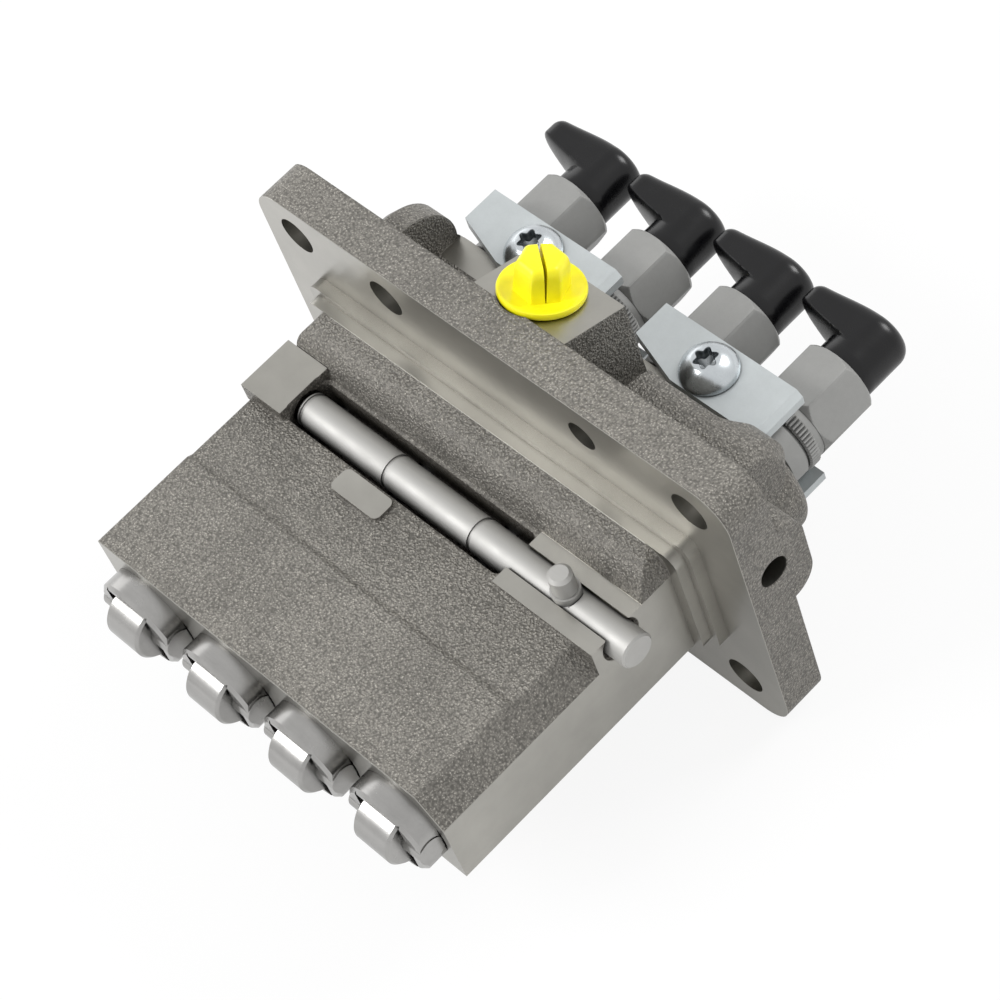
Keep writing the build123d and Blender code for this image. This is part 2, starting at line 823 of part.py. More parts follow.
    with BuildPart() as delivery_valve:
        with BuildSketch(axis_plane(x)):
            with BuildLine():
                Polyline(
                    (0, barrel_top + 0.6),
                    (valve_stem_radius, barrel_top + 0.6),
                    (valve_stem_radius, valve_seat_top),
                    (valve_head_radius, valve_seat_top),
                    (valve_head_radius, valve_seat_top + valve_head_height * 0.6),
                    (valve_stem_radius, valve_seat_top + valve_head_height),
                    (0, valve_seat_top + valve_head_height),
                    close=True,
                )
            make_face()
        revolve(axis=plunger_axis(x))
    write(delivery_valve, f"delivery_valve_{number}")

    valve_spring_low = valve_seat_top + valve_head_height
    valve_spring_height = union_spring_top - valve_spring_low - 2 * valve_spring_wire_radius
    with BuildPart() as delivery_spring:
        with BuildLine() as valve_spring_path:
            Helix(
                valve_spring_height / valve_spring_turns,
                valve_spring_height,
                valve_spring_mean_radius,
                center=(x, valve_spring_low + valve_spring_wire_radius, 0),
                direction=(0, 1, 0),
            )
        with BuildSketch(Plane(origin=valve_spring_path.line @ 0, z_dir=valve_spring_path.line % 0)):
            RegularPolygon(valve_spring_wire_radius, 5)
        sweep(is_frenet=True)
    write(delivery_spring, f"delivery_spring_{number}")

    with BuildPart() as delivery_union:
        with BuildSketch(axis_plane(x)):
            with BuildLine():
                Polyline(
                    (nipple_bore_radius, nipple_top),
                    (nipple_radius - 1, nipple_top),
                    (nipple_radius, nipple_top - 1),
                    (nipple_radius, hex_low + 1),
                    (knurl_radius, hex_low + 1),
                    (knurl_radius, ring_groove_high),
                    (ring_groove_radius, ring_groove_high),
                    (ring_groove_radius, ring_groove_low),
                    (union_neck_radius, ring_groove_low),
                    (union_neck_radius, head_end),
                    (union_thread_radius, head_end),
                    (union_thread_radius, union_bottom),
                    (union_cavity_radius, union_bottom),
                    (union_cavity_radius, valve_seat_top + valve_spring_gap),
                    (union_spring_radius, valve_seat_top + valve_spring_gap),
                    (union_spring_radius, union_spring_top),
                    (nipple_bore_radius, union_spring_top),
                    close=True,
                )
            make_face()
        revolve(axis=plunger_axis(x))
        with BuildSketch(cross_plane(x, hex_low)):
            RegularPolygon(hex_across_flats / 2, 6, major_radius=False, rotation=30)
            Circle(nipple_radius - 1, mode=Mode.SUBTRACT)
        extrude(amount=hex_low - hex_top)
        for edge, inward in ((hex_low, 1), (hex_top, -1)):
            with BuildSketch(axis_plane(x)):
                with BuildLine():
                    Polyline(
                        (hex_corner - hex_cone_width, edge),
                        (hex_corner + hex_cone_width, edge),
                        (hex_corner + hex_cone_width, edge + 2 * inward * hex_chamfer),
                        close=True,
                    )
                make_face()
            revolve(axis=plunger_axis(x), mode=Mode.SUBTRACT)
    write(delivery_union, f"delivery_union_{number}")

    wing_plane = Plane(origin=(x, 0, 0), x_dir=wing_back, z_dir=wing_side)
    with BuildPart() as cap:
        with BuildSketch(cross_plane(x, cap_bottom)):
            Circle(cap_radius)
        extrude(amount=cap_bottom - cap_top)
        with BuildSketch(Plane(origin=(x, wing_low_at_body, 0), x_dir=wing_back, z_dir=(0, -1, 0))):
            Circle(cap_radius)
            with Locations((-wing_reach + wing_tip_radius, 0)):
                Circle(wing_tip_radius)
            make_hull()
        extrude(amount=wing_low_at_body - cap_top)
        fillet(cap.faces().sort_by(Axis.Y)[-1].edges(), cap_round)
        with BuildSketch(wing_plane):
            with BuildLine():
                Polyline(
                    (-cap_radius, cap_bottom),
                    (-cap_radius - cap_round / 2, wing_low_at_body),
                    (-wing_reach - cap_round / 2, wing_low_at_tip),
                    (-wing_reach - cap_round / 2, cap_bottom),
                    close=True,
                )
            make_face()
        extrude(amount=cap_radius, both=True, mode=Mode.SUBTRACT)
        with BuildSketch(cross_plane(x, cap_bottom)):
            Circle(nipple_radius + turning_fit)
        extrude(amount=cap_bottom - cap_roof, mode=Mode.SUBTRACT)
    write(cap, f"cap_{number}")

# Lock plates, two in front and two behind, with teeth that hold the knurls
for side, side_name in ((1, "front"), (-1, "back")):
    for plate_number, plate_centre in enumerate((-plate_x, plate_x), start=1):
        with BuildPart() as lock_plate:
            with BuildSketch(Plane.XY.offset(side * plate_seat_z)):
                with Locations((plate_centre, (plate_low + plate_high) / 2)):
                    Rectangle(2 * plate_half_length, plate_high - plate_low)
            extrude(amount=side * plate_thickness)
            with BuildSketch(Plane.XY.offset(side * plate_seat_z)):
                with BuildLine():
                    Polyline(
                        (plate_centre - plate_half_length, plate_low + plate_cut_y),
                        (plate_centre - plate_half_length + plate_cut_x, plate_low),
                        (plate_centre - plate_half_length, plate_low),
                        close=True,
                    )
                make_face()
            extrude(amount=side * plate_thickness, mode=Mode.SUBTRACT)
            outer_face = lock_plate.faces().filter_by(Axis.Z).sort_by(Axis.Z)[-1 if side > 0 else 0]
            chamfer(outer_face.edges().sort_by(Axis.X)[-1], plate_bevel)
            for x in (plate_centre - pitch / 2, plate_centre + pitch / 2):
                with BuildSketch(Plane.XY.offset(side * (knurl_radius + 0.05))):
                    with Locations((x, (tooth_low + tooth_high) / 2)):
                        Rectangle(2 * tooth_half_width, tooth_high - tooth_low)
                extrude(amount=side * (plate_seat_z - knurl_radius - 0.05))
            with BuildSketch(Plane.XY.offset(side * plate_seat_z)):
                with Locations((plate_centre, lock_screw_y)):
                    Circle(lock_screw_radius + free_gap)
            extrude(amount=side * plate_thickness, mode=Mode.SUBTRACT)
        write(lock_plate, f"lock_plate_{side_name}_{plate_number}")

# Screws of the lock plates
screw_seat = plate_seat_z + plate_thickness
screw_tip = plate_seat_z - lock_screw_length
dome_height = screw_head_height - screw_head_edge
dome_radius = (screw_head_radius**2 + dome_height**2) / (2 * dome_height)
dome_centre = screw_seat + screw_head_height - dome_radius
dome_angle = asin(screw_head_radius / dome_radius) / 2
with BuildPart() as lock_screws:
    for side in (-1, 1):
        for x in (-plate_x, plate_x):
            screw_plane = Plane(origin=(x, lock_screw_y, 0), x_dir=(1, 0, 0), z_dir=(0, -side, 0))
            with BuildSketch(screw_plane):
                with BuildLine():
                    Polyline(
                        (0, screw_seat + screw_head_height),
                        (0, screw_tip),
                        (lock_screw_radius, screw_tip),
                        (lock_screw_radius, screw_seat),
                        (screw_head_radius, screw_seat),
                        (screw_head_radius, screw_seat + screw_head_edge),
                    )
                    ThreePointArc(
                        (screw_head_radius, screw_seat + screw_head_edge),
                        (dome_radius * sin(dome_angle), dome_centre + dome_radius * cos(dome_angle)),
                        (0, screw_seat + screw_head_height),
                    )
                make_face()
            revolve(axis=Axis((x, lock_screw_y, 0), (0, 0, 1)))
            with BuildSketch(Plane.XY.offset(side * (screw_seat + screw_head_height))):
                with Locations((x, lock_screw_y)):
                    RegularPolygon(screw_recess_radius, 6)
            extrude(amount=-side * screw_recess_depth, mode=Mode.SUBTRACT)
write(lock_screws, "lock_screws")

# Transport plug in the inlet, with a slotted hexagonal knob
with BuildPart() as inlet_plug:
    with BuildSketch(inlet_plane.offset(-plug_shank_length)):
        Circle(inlet_bore_radius - turning_fit)
    extrude(amount=plug_shank_length)
    with BuildSketch(inlet_plane):
        Circle(plug_flange_radius)
    extrude(amount=plug_flange_height)
    with BuildSketch(inlet_plane.offset(plug_flange_height)):
        RegularPolygon(plug_hex_radius, 6, rotation=plug_turn + 30)
    extrude(amount=plug_hex_height)
    with BuildSketch(inlet_plane.offset(plug_flange_height + plug_hex_height)):
        RegularPolygon(plug_hex_radius, 6, rotation=plug_turn + 30)
    extrude(amount=plug_dome_height, taper=plug_dome_taper)
    with BuildSketch(inlet_plane.offset(plug_flange_height + plug_hex_height + plug_dome_height)):
        Rectangle(3 * plug_hex_radius, plug_slot_width, rotation=plug_turn)
    extrude(amount=-plug_slot_depth, mode=Mode.SUBTRACT)
write(inlet_plug, "inlet_plug")
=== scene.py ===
"""Looks of the diesel injection pump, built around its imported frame.

Each sub-assembly is a class whose fields are its sizes in metres, and each finish is a frozen
dataclass that makes its own material. X runs along the row of plungers, Y from the roller
tappets to the delivery unions, and Z out of the side with the control rod.
"""

import json
import logging
import math
from dataclasses import dataclass
from enum import Enum
from typing import Callable, Sequence

import bmesh
import bpy
from mathutils import Matrix, Vector

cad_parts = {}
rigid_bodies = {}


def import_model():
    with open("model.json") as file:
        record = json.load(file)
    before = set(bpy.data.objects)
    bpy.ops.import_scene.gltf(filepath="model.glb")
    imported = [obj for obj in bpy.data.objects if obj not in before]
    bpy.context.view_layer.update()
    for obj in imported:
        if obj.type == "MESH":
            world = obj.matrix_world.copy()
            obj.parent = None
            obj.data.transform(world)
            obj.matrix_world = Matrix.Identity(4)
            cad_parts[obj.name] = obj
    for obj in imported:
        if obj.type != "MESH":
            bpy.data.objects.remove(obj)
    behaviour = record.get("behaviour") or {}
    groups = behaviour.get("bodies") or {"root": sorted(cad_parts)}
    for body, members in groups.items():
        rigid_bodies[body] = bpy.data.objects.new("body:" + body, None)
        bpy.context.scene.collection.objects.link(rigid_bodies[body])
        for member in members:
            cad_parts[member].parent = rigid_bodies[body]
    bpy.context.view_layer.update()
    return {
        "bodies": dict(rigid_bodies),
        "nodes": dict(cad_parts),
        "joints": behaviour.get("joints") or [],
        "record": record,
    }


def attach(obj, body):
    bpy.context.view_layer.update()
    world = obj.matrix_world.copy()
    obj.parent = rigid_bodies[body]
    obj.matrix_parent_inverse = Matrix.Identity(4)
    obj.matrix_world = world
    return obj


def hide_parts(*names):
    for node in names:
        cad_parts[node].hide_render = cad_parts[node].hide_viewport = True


log = logging.getLogger("pump")

Colour = tuple[float, float, float]
Point = tuple[float, float, float]
Box = tuple[Point, Point]
Socket = bpy.types.NodeSocket
Radius = Callable[[float], float] | float
MM = 0.001
ROW: tuple[float, ...] = (-37.5 * MM, -12.5 * MM, 12.5 * MM, 37.5 * MM)
SCREW_PLACES: tuple[float, ...] = (-25.0 * MM, 25.0 * MM)


class Grinding(Enum):
    """Direction in which a ground surface is brushed, as the scale of its noise along X, Y and Z."""

    NONE = (1.0, 1.0, 1.0)
    ALONG_X = (0.02, 1.0, 1.0)
    ALONG_Y = (1.0, 0.02, 1.0)


def linear(red: int, green: int, blue: int) -> Colour:
    """Turns a colour of 0 to 255 into the linear values that shaders take."""

    def turned(value: int) -> float:
        """One channel by the sRGB curve."""
        return ((value / 255 + 0.055) / 1.055) ** 2.4 if value > 10 else value / 3294

    return turned(red), turned(green), turned(blue)


def shaded(colour: Colour, factor: float) -> Colour:
    """Makes a colour darker or lighter by a factor."""
    red, green, blue = colour
    return red * factor, green * factor, blue * factor


# Shader nodes


class Tree:
    """A node tree with short calls for the nodes that every finish uses."""

    def __init__(self, tree: bpy.types.NodeTree) -> None:
        """Takes the tree that the nodes go into."""
        self.tree = tree

    def add(
        self, kind: str, inputs: dict[str, object] | None = None, **settings: object
    ) -> bpy.types.Node:
        """Adds one node.

        Args:
            kind: Blender's node type without its "ShaderNode" start.
            inputs: Values or sockets for the node's inputs, by name.
            settings: Properties of the node.

        Returns:
            The new node.
        """
        made = self.tree.nodes.new("ShaderNode" + kind)
        for key, value in settings.items():
            setattr(made, key, value)
        for key, value in (inputs or {}).items():
            self.feed(made.inputs[key], value)
        return made

    def feed(self, socket: Socket, value: object) -> None:
        """Links a socket to an input, or sets the input's value."""
        if isinstance(value, Socket):
            self.tree.links.new(value, socket)
        else:
            socket.default_value = (*value, 1.0) if socket.type == "RGBA" and len(value) == 3 else value

    def maths(self, how: str, *values: object) -> Socket:
        """Adds a Math node on up to three values or sockets.

        Args:
            how: Name of the operation.
            values: Values or sockets.

        Returns:
            The result's socket.
        """
        made = self.add("Math", operation=how)
        for socket, value in zip(made.inputs, values):
            self.feed(socket, value)
        return made.outputs[0]

    def weigh(self, first: Socket, share: float, second: Socket, second_share: float) -> Socket:
        """Adds two values, each times its own share.

        Args:
            first: First value.
            share: Share of the first.
            second: Second value.
            second_share: Share of the second.

        Returns:
            The sum's socket.
        """
        part = self.maths("MULTIPLY", first, share)
        return self.maths("ADD", part, self.maths("MULTIPLY", second, second_share))

    def ramp(
        self, value: Socket, low: float, high: float, to_low: float = 0.0, to_high: float = 1.0
    ) -> Socket:
        """Maps a value's range onto another one, clamped.

        Args:
            value: Socket that gives the value.
            low: Value that becomes to_low.
            high: Value that becomes to_high.
            to_low: Result at low.
            to_high: Result at high.

        Returns:
            The result's socket.
        """
        ends = {"From Min": low, "From Max": high, "To Min": to_low, "To Max": to_high}
        return self.add("MapRange", {"Value": value, **ends}).outputs[0]

    def blend(self, amount: object, low: object, high: object) -> Socket:
        """Mixes two colours.

        Args:
            amount: Share of the second colour.
            low: First colour.
            high: Second colour.

        Returns:
            The mixed colour's socket.
        """
        made = self.add("Mix", data_type="RGBA")
        share, first, second = (made.inputs[number] for number in (0, 6, 7))
        self.feed(share, amount)
        self.feed(first, low)
        self.feed(second, high)
        return made.outputs[2]

    def noise(
        self, place: Socket, scale: float | Socket, detail: float = 2.0, roughness: float = 0.5
    ) -> Socket:
        """Adds a noise of the given scale per metre and returns its value."""
        takes = {"Vector": place, "Scale": scale, "Detail": detail, "Roughness": roughness}
        return self.add("TexNoise", takes).outputs["Fac"]

    def hollows(self, reach: float) -> Socket:
        """Adds the openness of each point, 0 deep in a gap, as seen over a reach in millimetres."""
        found = self.add("AmbientOcclusion", {"Distance": reach * MM}, samples=4)
        return found.outputs["AO"]


def new_group(
    name: str, takes: dict[str, str], gives: dict[str, str]
) -> tuple[bpy.types.NodeTree, Tree, bpy.types.Node, bpy.types.Node]:
    """Makes an empty shader group with named inputs and outputs.

    Args:
        name: Name of the group.
        takes: Input names and their kinds, such as "Float".
        gives: Output names and their kinds.

    Returns:
        The group, its short calls, its input node and its output node.
    """
    group = bpy.data.node_groups.new(name, "ShaderNodeTree")
    for sockets, way in ((takes, "INPUT"), (gives, "OUTPUT")):
        for label, kind in sockets.items():
            group.interface.new_socket(label, in_out=way, socket_type="NodeSocket" + kind)
    start, end = (group.nodes.new("NodeGroup" + kind) for kind in ("Input", "Output"))
    return group, Tree(group), start, end


class Effects:
    """Shader groups that more than one finish uses, each built once."""

    def __init__(self) -> None:
        """Builds the groups."""
        self.region = self._region()
        self.grain = self._grain()
        self.scratches = self._scratches()

    @staticmethod
    def _region() -> bpy.types.NodeTree:
        """Builds the group that marks the points inside a box."""
        takes = {"Position": "Vector", "Low": "Vector", "High": "Vector"}
        group, tree, start, end = new_group("region", takes, {"Mask": "Float"})
        place, low, high = (start.outputs[label] for label in takes)
        inside = []
        for first, second in ((place, low), (high, place)):
            gap = tree.add("VectorMath", operation="SUBTRACT")
            tree.feed(gap.inputs[0], first)
            tree.feed(gap.inputs[1], second)
            inside += list(tree.add("SeparateXYZ", {"Vector": gap.outputs[0]}).outputs)
        least = inside[0]
        for value in inside[1:]:
            least = tree.maths("MINIMUM", least, value)
        tree.feed(end.inputs["Mask"], tree.maths("GREATER_THAN", least, 0.0))
        return group

    @staticmethod
    def _grain() -> bpy.types.NodeTree:
        """Builds the sand-cast grain: its height, and masks of its hollows and tips, where the casting
        paints shade and glints.
        """
        gives = {"Height": "Float", "Hollows": "Float", "Tips": "Float"}
        group, tree, start, end = new_group("cast_grain", {"Position": "Vector"}, gives)
        place = start.outputs["Position"]
        shift, grain_scale = 0.7 * MM, 2000.0
        wander = tree.add("TexNoise", {"Vector": place, "Scale": 1100.0, "Detail": 2.0})
        shifted = tree.add("VectorMath", operation="MULTIPLY_ADD")
        tree.feed(shifted.inputs[0], wander.outputs["Color"])
        shifted.inputs[1].default_value = (shift, shift, shift)
        tree.feed(shifted.inputs[2], place)
        cells = {"Vector": shifted.outputs[0], "Scale": grain_scale, "Smoothness": 0.6}
        grains = tree.add("TexVoronoi", cells, feature="SMOOTH_F1").outputs["Distance"]
        dome = tree.ramp(grains, 0.75, 0.1)
        fine = tree.noise(place, 2600.0, 2.0, 0.6)
        broad = tree.noise(place, 160.0, 4.0, 0.55)
        lump = tree.weigh(dome, 0.5, fine, 0.3)
        tree.feed(end.inputs["Height"], tree.maths("ADD", lump, tree.maths("MULTIPLY", broad, 1.4)))
        mixed = tree.weigh(dome, 0.55, fine, 0.45)
        tree.feed(end.inputs["Hollows"], tree.ramp(mixed, 0.5, 0.24))
        tree.feed(end.inputs["Tips"], tree.ramp(mixed, 0.6, 0.78))
        return group

    @staticmethod
    def _scratches() -> bpy.types.NodeTree:
        """Builds fine grinding or milling marks, stretched as the Stretch input says."""
        takes = {"Position": "Vector", "Stretch": "Vector", "Density": "Float"}
        gives = {"Height": "Float", "Streaks": "Float"}
        group, tree, start, end = new_group("scratches", takes, gives)
        place, stretch, density = (start.outputs[label] for label in takes)
        pulled = tree.add("VectorMath", operation="MULTIPLY")
        tree.feed(pulled.inputs[0], place)
        tree.feed(pulled.inputs[1], stretch)
        fine = tree.noise(pulled.outputs[0], density, 3.0)
        coarse = tree.noise(pulled.outputs[0], tree.maths("MULTIPLY", density, 0.2))
        tree.feed(end.inputs["Height"], fine)
        tree.feed(end.inputs["Streaks"], tree.weigh(fine, 0.5, coarse, 0.5))
        return group


def start_material(name: str) -> tuple[bpy.types.Material, Tree, bpy.types.Node, Socket]:
    """Makes a material with an empty Principled shader.

    Args:
        name: Name of the material.

    Returns:
        The material, its short calls, its Principled node and the object coordinates.
    """
    made = bpy.data.materials.new(name)
    made.use_nodes = True
    made.node_tree.nodes.clear()
    tree = Tree(made.node_tree)
    shader = tree.add("BsdfPrincipled")
    tree.tree.links.new(shader.outputs[0], tree.add("OutputMaterial").inputs[0])
    return made, tree, shader, tree.add("TexCoord").outputs["Object"]


@dataclass(frozen=True)
class MetalFinish:
    """A bare or plated metal with grinding marks, a little mottling and painted shade in its gaps."""

    name: str
    colour: Colour
    roughness: float
    grinding: Grinding = Grinding.NONE
    metallic: float = 1.0
    mark_depth: float = 0.004
    mottle: float = 0.12
    density: float = 2600.0
    spread: float = 0.12
    cloud_scale: float = 160.0
    # Reach and strength of the painted shade in gaps and corners
    hollow_reach: float = 4.0
    hollow_shade: float = 0.12

    def make(self, effects: Effects) -> bpy.types.Material:
        """Makes the material.

        Args:
            effects: Shared shader groups.

        Returns:
            The material.
        """
        made, tree, shader, place = start_material(self.name)
        takes = {"Position": place, "Stretch": self.grinding.value, "Density": self.density}
        marks = tree.add("Group", takes, node_tree=effects.scratches)
        streaks = tree.ramp(marks.outputs["Streaks"], 0.3, 0.7)
        cloud = tree.ramp(tree.noise(place, self.cloud_scale, 4.0, 0.6), 0.3, 0.7)
        dark = shaded(self.colour, 1 - self.mottle)
        light = tuple(min(1.0, v * (1 + self.mottle)) for v in self.colour)
        worn = tree.weigh(streaks, 0.5, cloud, 0.5)
        # Painted shade: the colour falls to a dark copy of itself in gaps, corners and recesses, by
        # ambient occlusion
        deep = tree.ramp(tree.hollows(self.hollow_reach), 0.1, 0.7)
        painted_gap_shade = shaded(self.colour, self.hollow_shade)
        tree.feed(shader.inputs["Base Color"], tree.blend(deep, painted_gap_shade, tree.blend(worn, dark, light)))
        smooth, rough = (self.roughness * (1 + way * self.spread) for way in (-1, 1))
        tree.feed(shader.inputs["Roughness"], tree.ramp(cloud, 0.0, 1.0, smooth, rough))
        tree.feed(shader.inputs["Metallic"], self.metallic)
        relief = {"Height": marks.outputs["Height"], "Strength": 0.5, "Distance": self.mark_depth * MM}
        tree.feed(shader.inputs["Normal"], tree.add("Bump", relief).outputs[0])
        return made


@dataclass(frozen=True)
class PlasticFinish:
    """A moulded plastic or rubber with a faint orange peel."""

    name: str
    colour: Colour
    roughness: float
    peel: float = 0.01
    shine: float = 0.45
    scatter: float = 0.0
    scatter_reach: Point = (2.0 * MM, 1.6 * MM, 0.3 * MM)
    spread: float = 0.15

    def make(self, effects: Effects) -> bpy.types.Material:
        """Makes the material.

        Args:
            effects: Shared shader groups, not used here.

        Returns:
            The material.
        """
        made, tree, shader, place = start_material(self.name)
        cloud = tree.ramp(tree.noise(place, 220.0, 3.0), 0.3, 0.7)
        tree.feed(shader.inputs["Base Color"], tree.blend(cloud, shaded(self.colour, 0.86), self.colour))
        smooth, rough = (self.roughness * (1 + way * self.spread) for way in (-1, 1))
        tree.feed(shader.inputs["Roughness"], tree.ramp(cloud, 0.0, 1.0, smooth, rough))
        shader.inputs["Specular IOR Level"].default_value = self.shine
        if self.scatter:
            shader.inputs["Subsurface Weight"].default_value = self.scatter
            shader.inputs["Subsurface Radius"].default_value = self.scatter_reach
        fine = tree.noise(place, 1400.0, 2.0)
        bump = tree.add("Bump", {"Height": fine, "Strength": 0.4, "Distance": self.peel * MM})
        tree.feed(shader.inputs["Normal"], bump.outputs[0])
        return made


@dataclass(frozen=True)
class CastFinish:
    """The housing's rough casting, with its machined faces found by where they lie."""

    name: str
    cast: Colour
    milled: Colour
    milled_boxes: Sequence[Box] = ()
    milling: Point = (0.05, 1.0, 1.0)
    milling_density: float = 1500.0
    milling_height: float = 0.03
    cast_roughness: float = 0.46
    milled_roughness: float = 0.3
    cast_metallic: float = 0.45
    grain_depth: float = 0.4
    # Grain hollows darkened as painted shade and grain tips lightened as painted glints, over the
    # grain's own tone
    hollow_share: float = 0.68
    hollow_shade: float = 0.38
    tip_share: float = 0.82
    tip_glint: float = 2.4
    edge_round: float = 1.0
    edge_break: float = 0.02
    hollow_reach: float = 6.0
    # Colour of the painted shade in gaps, holes and recesses
    recess_shade_colour: tuple[int, int, int] = (52, 44, 36)
    inlet_point: Point = (0.0, 17.7 * MM, 39.5 * MM)
    inlet_tilt: float = 18.4
    inlet_box: Box = ((-11.5, 10.5, 30.0), (14.2, 26.5, 45.0))
    plane_depth: float = 0.2 * MM

    @staticmethod
    def _inside(tree: Tree, effects: Effects, place: Socket, box: Box) -> Socket:
        """Marks the points inside one box.

        Args:
            tree: Short calls of the material.
            effects: Shared shader groups.
            place: Object coordinates.
            box: Low and high corner in millimetres.

        Returns:
            The mask's socket.
        """
        low, high = ([value * MM for value in corner] for corner in box)
        takes = {"Position": place, "Low": low, "High": high}
        return tree.add("Group", takes, node_tree=effects.region).outputs[0]

    def _milled_mask(self, tree: Tree, effects: Effects, place: Socket) -> Socket:
        """Builds the mask of the machined faces.

        Args:
            tree: Short calls of the material.
            effects: Shared shader groups.
            place: Object coordinates.

        Returns:
            The mask's socket, 1 on a machined face.
        """
        tilt = math.radians(self.inlet_tilt)
        slope = tree.add("VectorMath", operation="DOT_PRODUCT")
        tree.feed(slope.inputs[0], place)
        slope.inputs[1].default_value = (0.0, math.sin(tilt), math.cos(tilt))
        height = self.inlet_point[1] * math.sin(tilt) + self.inlet_point[2] * math.cos(tilt)
        on_plane = tree.maths("COMPARE", slope.outputs["Value"], height, self.plane_depth)
        boss = self._inside(tree, effects, place, self.inlet_box)
        mask = tree.maths("MULTIPLY", on_plane, boss)
        for box in self.milled_boxes:
            mask = tree.maths("MAXIMUM", mask, self._inside(tree, effects, place, box))
        return mask

    def make(self, effects: Effects) -> bpy.types.Material:
        """Makes the material.

        Args:
            effects: Shared shader groups.

        Returns:
            The material.
        """
        made, tree, shader, place = start_material(self.name)
        mask = self._milled_mask(tree, effects, place)
        grain = tree.add("Group", {"Position": place}, node_tree=effects.grain)
        takes = {"Position": place, "Stretch": self.milling, "Density": self.milling_density}
        marks = tree.add("Group", takes, node_tree=effects.scratches)
        broad = tree.ramp(tree.noise(place, 60.0, 4.0, 0.6), 0.35, 0.65)
        cast = tree.blend(broad, shaded(self.cast, 0.88), shaded(self.cast, 1.12))
        # Grain tone, partly the grain's own and partly painted: shade in the hollows and glints on the
        # tips
        for label, share, shade in (
            ("Hollows", self.hollow_share, self.hollow_shade),
            ("Tips", self.tip_share, self.tip_glint),
        ):
            amount = tree.maths("MULTIPLY", grain.outputs[label], share)
            cast = tree.blend(amount, cast, shaded(self.cast, shade))
        milled = tree.blend(broad, shaded(self.milled, 0.92), shaded(self.milled, 1.06))
        both = tree.blend(mask, cast, milled)
        # Painted shade: gaps, holes and recesses darken towards a dark brown by ambient occlusion
        deep = tree.ramp(tree.hollows(self.hollow_reach), 0.1, 0.5)
        tree.feed(shader.inputs["Base Color"], tree.blend(deep, linear(*self.recess_shade_colour), both))
        roughness = tree.ramp(mask, 0.0, 1.0, self.cast_roughness, self.milled_roughness)
        tree.feed(shader.inputs["Roughness"], roughness)
        tree.feed(shader.inputs["Metallic"], tree.ramp(mask, 0.0, 1.0, self.cast_metallic, 1.0))
        rough = tree.maths("MULTIPLY", grain.outputs["Height"], tree.ramp(mask, 0.0, 1.0, 1.0, 0.0))
        milling = tree.ramp(mask, 0.0, 1.0, 0.0, self.milling_height)
        fine = tree.maths("MULTIPLY", marks.outputs["Height"], milling)
        softness = tree.ramp(mask, 0.0, 1.0, self.edge_round * MM, self.edge_break * MM)
        rounded = tree.add("Bevel", {"Radius": softness}, samples=4)
        relief = {"Height": tree.maths("ADD", rough, fine), "Normal": rounded.outputs[0]}
        bump = tree.add("Bump", {**relief, "Strength": 1.0, "Distance": self.grain_depth * MM})
        tree.feed(shader.inputs["Normal"], bump.outputs[0])
        return made


# Finishes of this pump

METALS = (
    MetalFinish("hardened_steel", linear(150, 149, 147), 0.34, Grinding.ALONG_Y),
    MetalFinish("polished_steel", linear(158, 157, 155), 0.25, Grinding.ALONG_X, mottle=0.1),
    MetalFinish(
        "ground_steel", linear(180, 179, 176), 0.56, Grinding.ALONG_X, metallic=0.5, mottle=0.06
    ),
    MetalFinish(
        "phosphated_steel",
        linear(148, 148, 146),
        0.5,
        metallic=0.4,
        mottle=0.07,
        mark_depth=0.01,
        density=3800.0,
    ),
    MetalFinish(
        "zinc_plate", linear(188, 193, 194), 0.42, metallic=0.6, mottle=0.06, mark_depth=0.003
    ),
    MetalFinish("bright_zinc", linear(190, 195, 198), 0.27, mottle=0.08, mark_depth=0.006),
    MetalFinish("spring_steel", linear(120, 122, 126), 0.4),
)

PLASTICS = (
    PlasticFinish("black_plastic", linear(9, 9, 11), 0.26, shine=0.34),
    PlasticFinish("yellow_plastic", linear(255, 244, 26), 0.34, scatter=0.35),
    PlasticFinish("black_rubber", linear(30, 30, 30), 0.6),
)

# X and Z of the flange's holes, and how far the milled wall reaches round each, in millimetres

BOLT_HOLES = (
    (-55.4, 34.5),
    (55.4, 34.5),
    (-55.4, -26.5),
    (55.4, -26.5),
    (-28.6, 34.5),
    (26.9, 34.5),
)
HOLE_REACH = 4.6

# The casting, with the machined faces as boxes in millimetres round each

HOUSING = CastFinish(
    "housing_casting",
    cast=linear(120, 117, 111),
    milled=linear(162, 160, 154),
    milled_boxes=(
        ((-70, -5.5, -40), (70, 0.15, 50)),  # mounting face and pilot
        ((-51, -70.4, -13), (51, -70.0, 14)),  # the body's end round the tappets
        ((49.9, -70.4, -12.4), (50.4, -5.3, 13.4)),  # the body's right side
        ((22.4, -27.5, 13.2), (50.4, -12.6, 13.5)),  # flats beside the lever pin
        ((-52.5, -26.7, 15.3), (-40.2, -12.8, 15.5)),  # corner pad
        ((-20.5, -32.1, 13.45), (-6.3, -26.3, 13.6)),  # stop pad
        ((-45, 22.3, 12.4), (45, 40, 12.6)),  # seats of the front lock plates
        ((-45, 10, -12.6), (45, 40, -12.4)),  # seats of the back lock plates
        *(
            ((x - HOLE_REACH, 0.1, z - HOLE_REACH), (x + HOLE_REACH, 9.9, z + HOLE_REACH))
            for x, z in BOLT_HOLES
        ),
        ((55.0, 3.2, 11.1), (66.0, 10.6, 18.5)),  # tapped hole in the flange's right end
    ),
)


# Stage


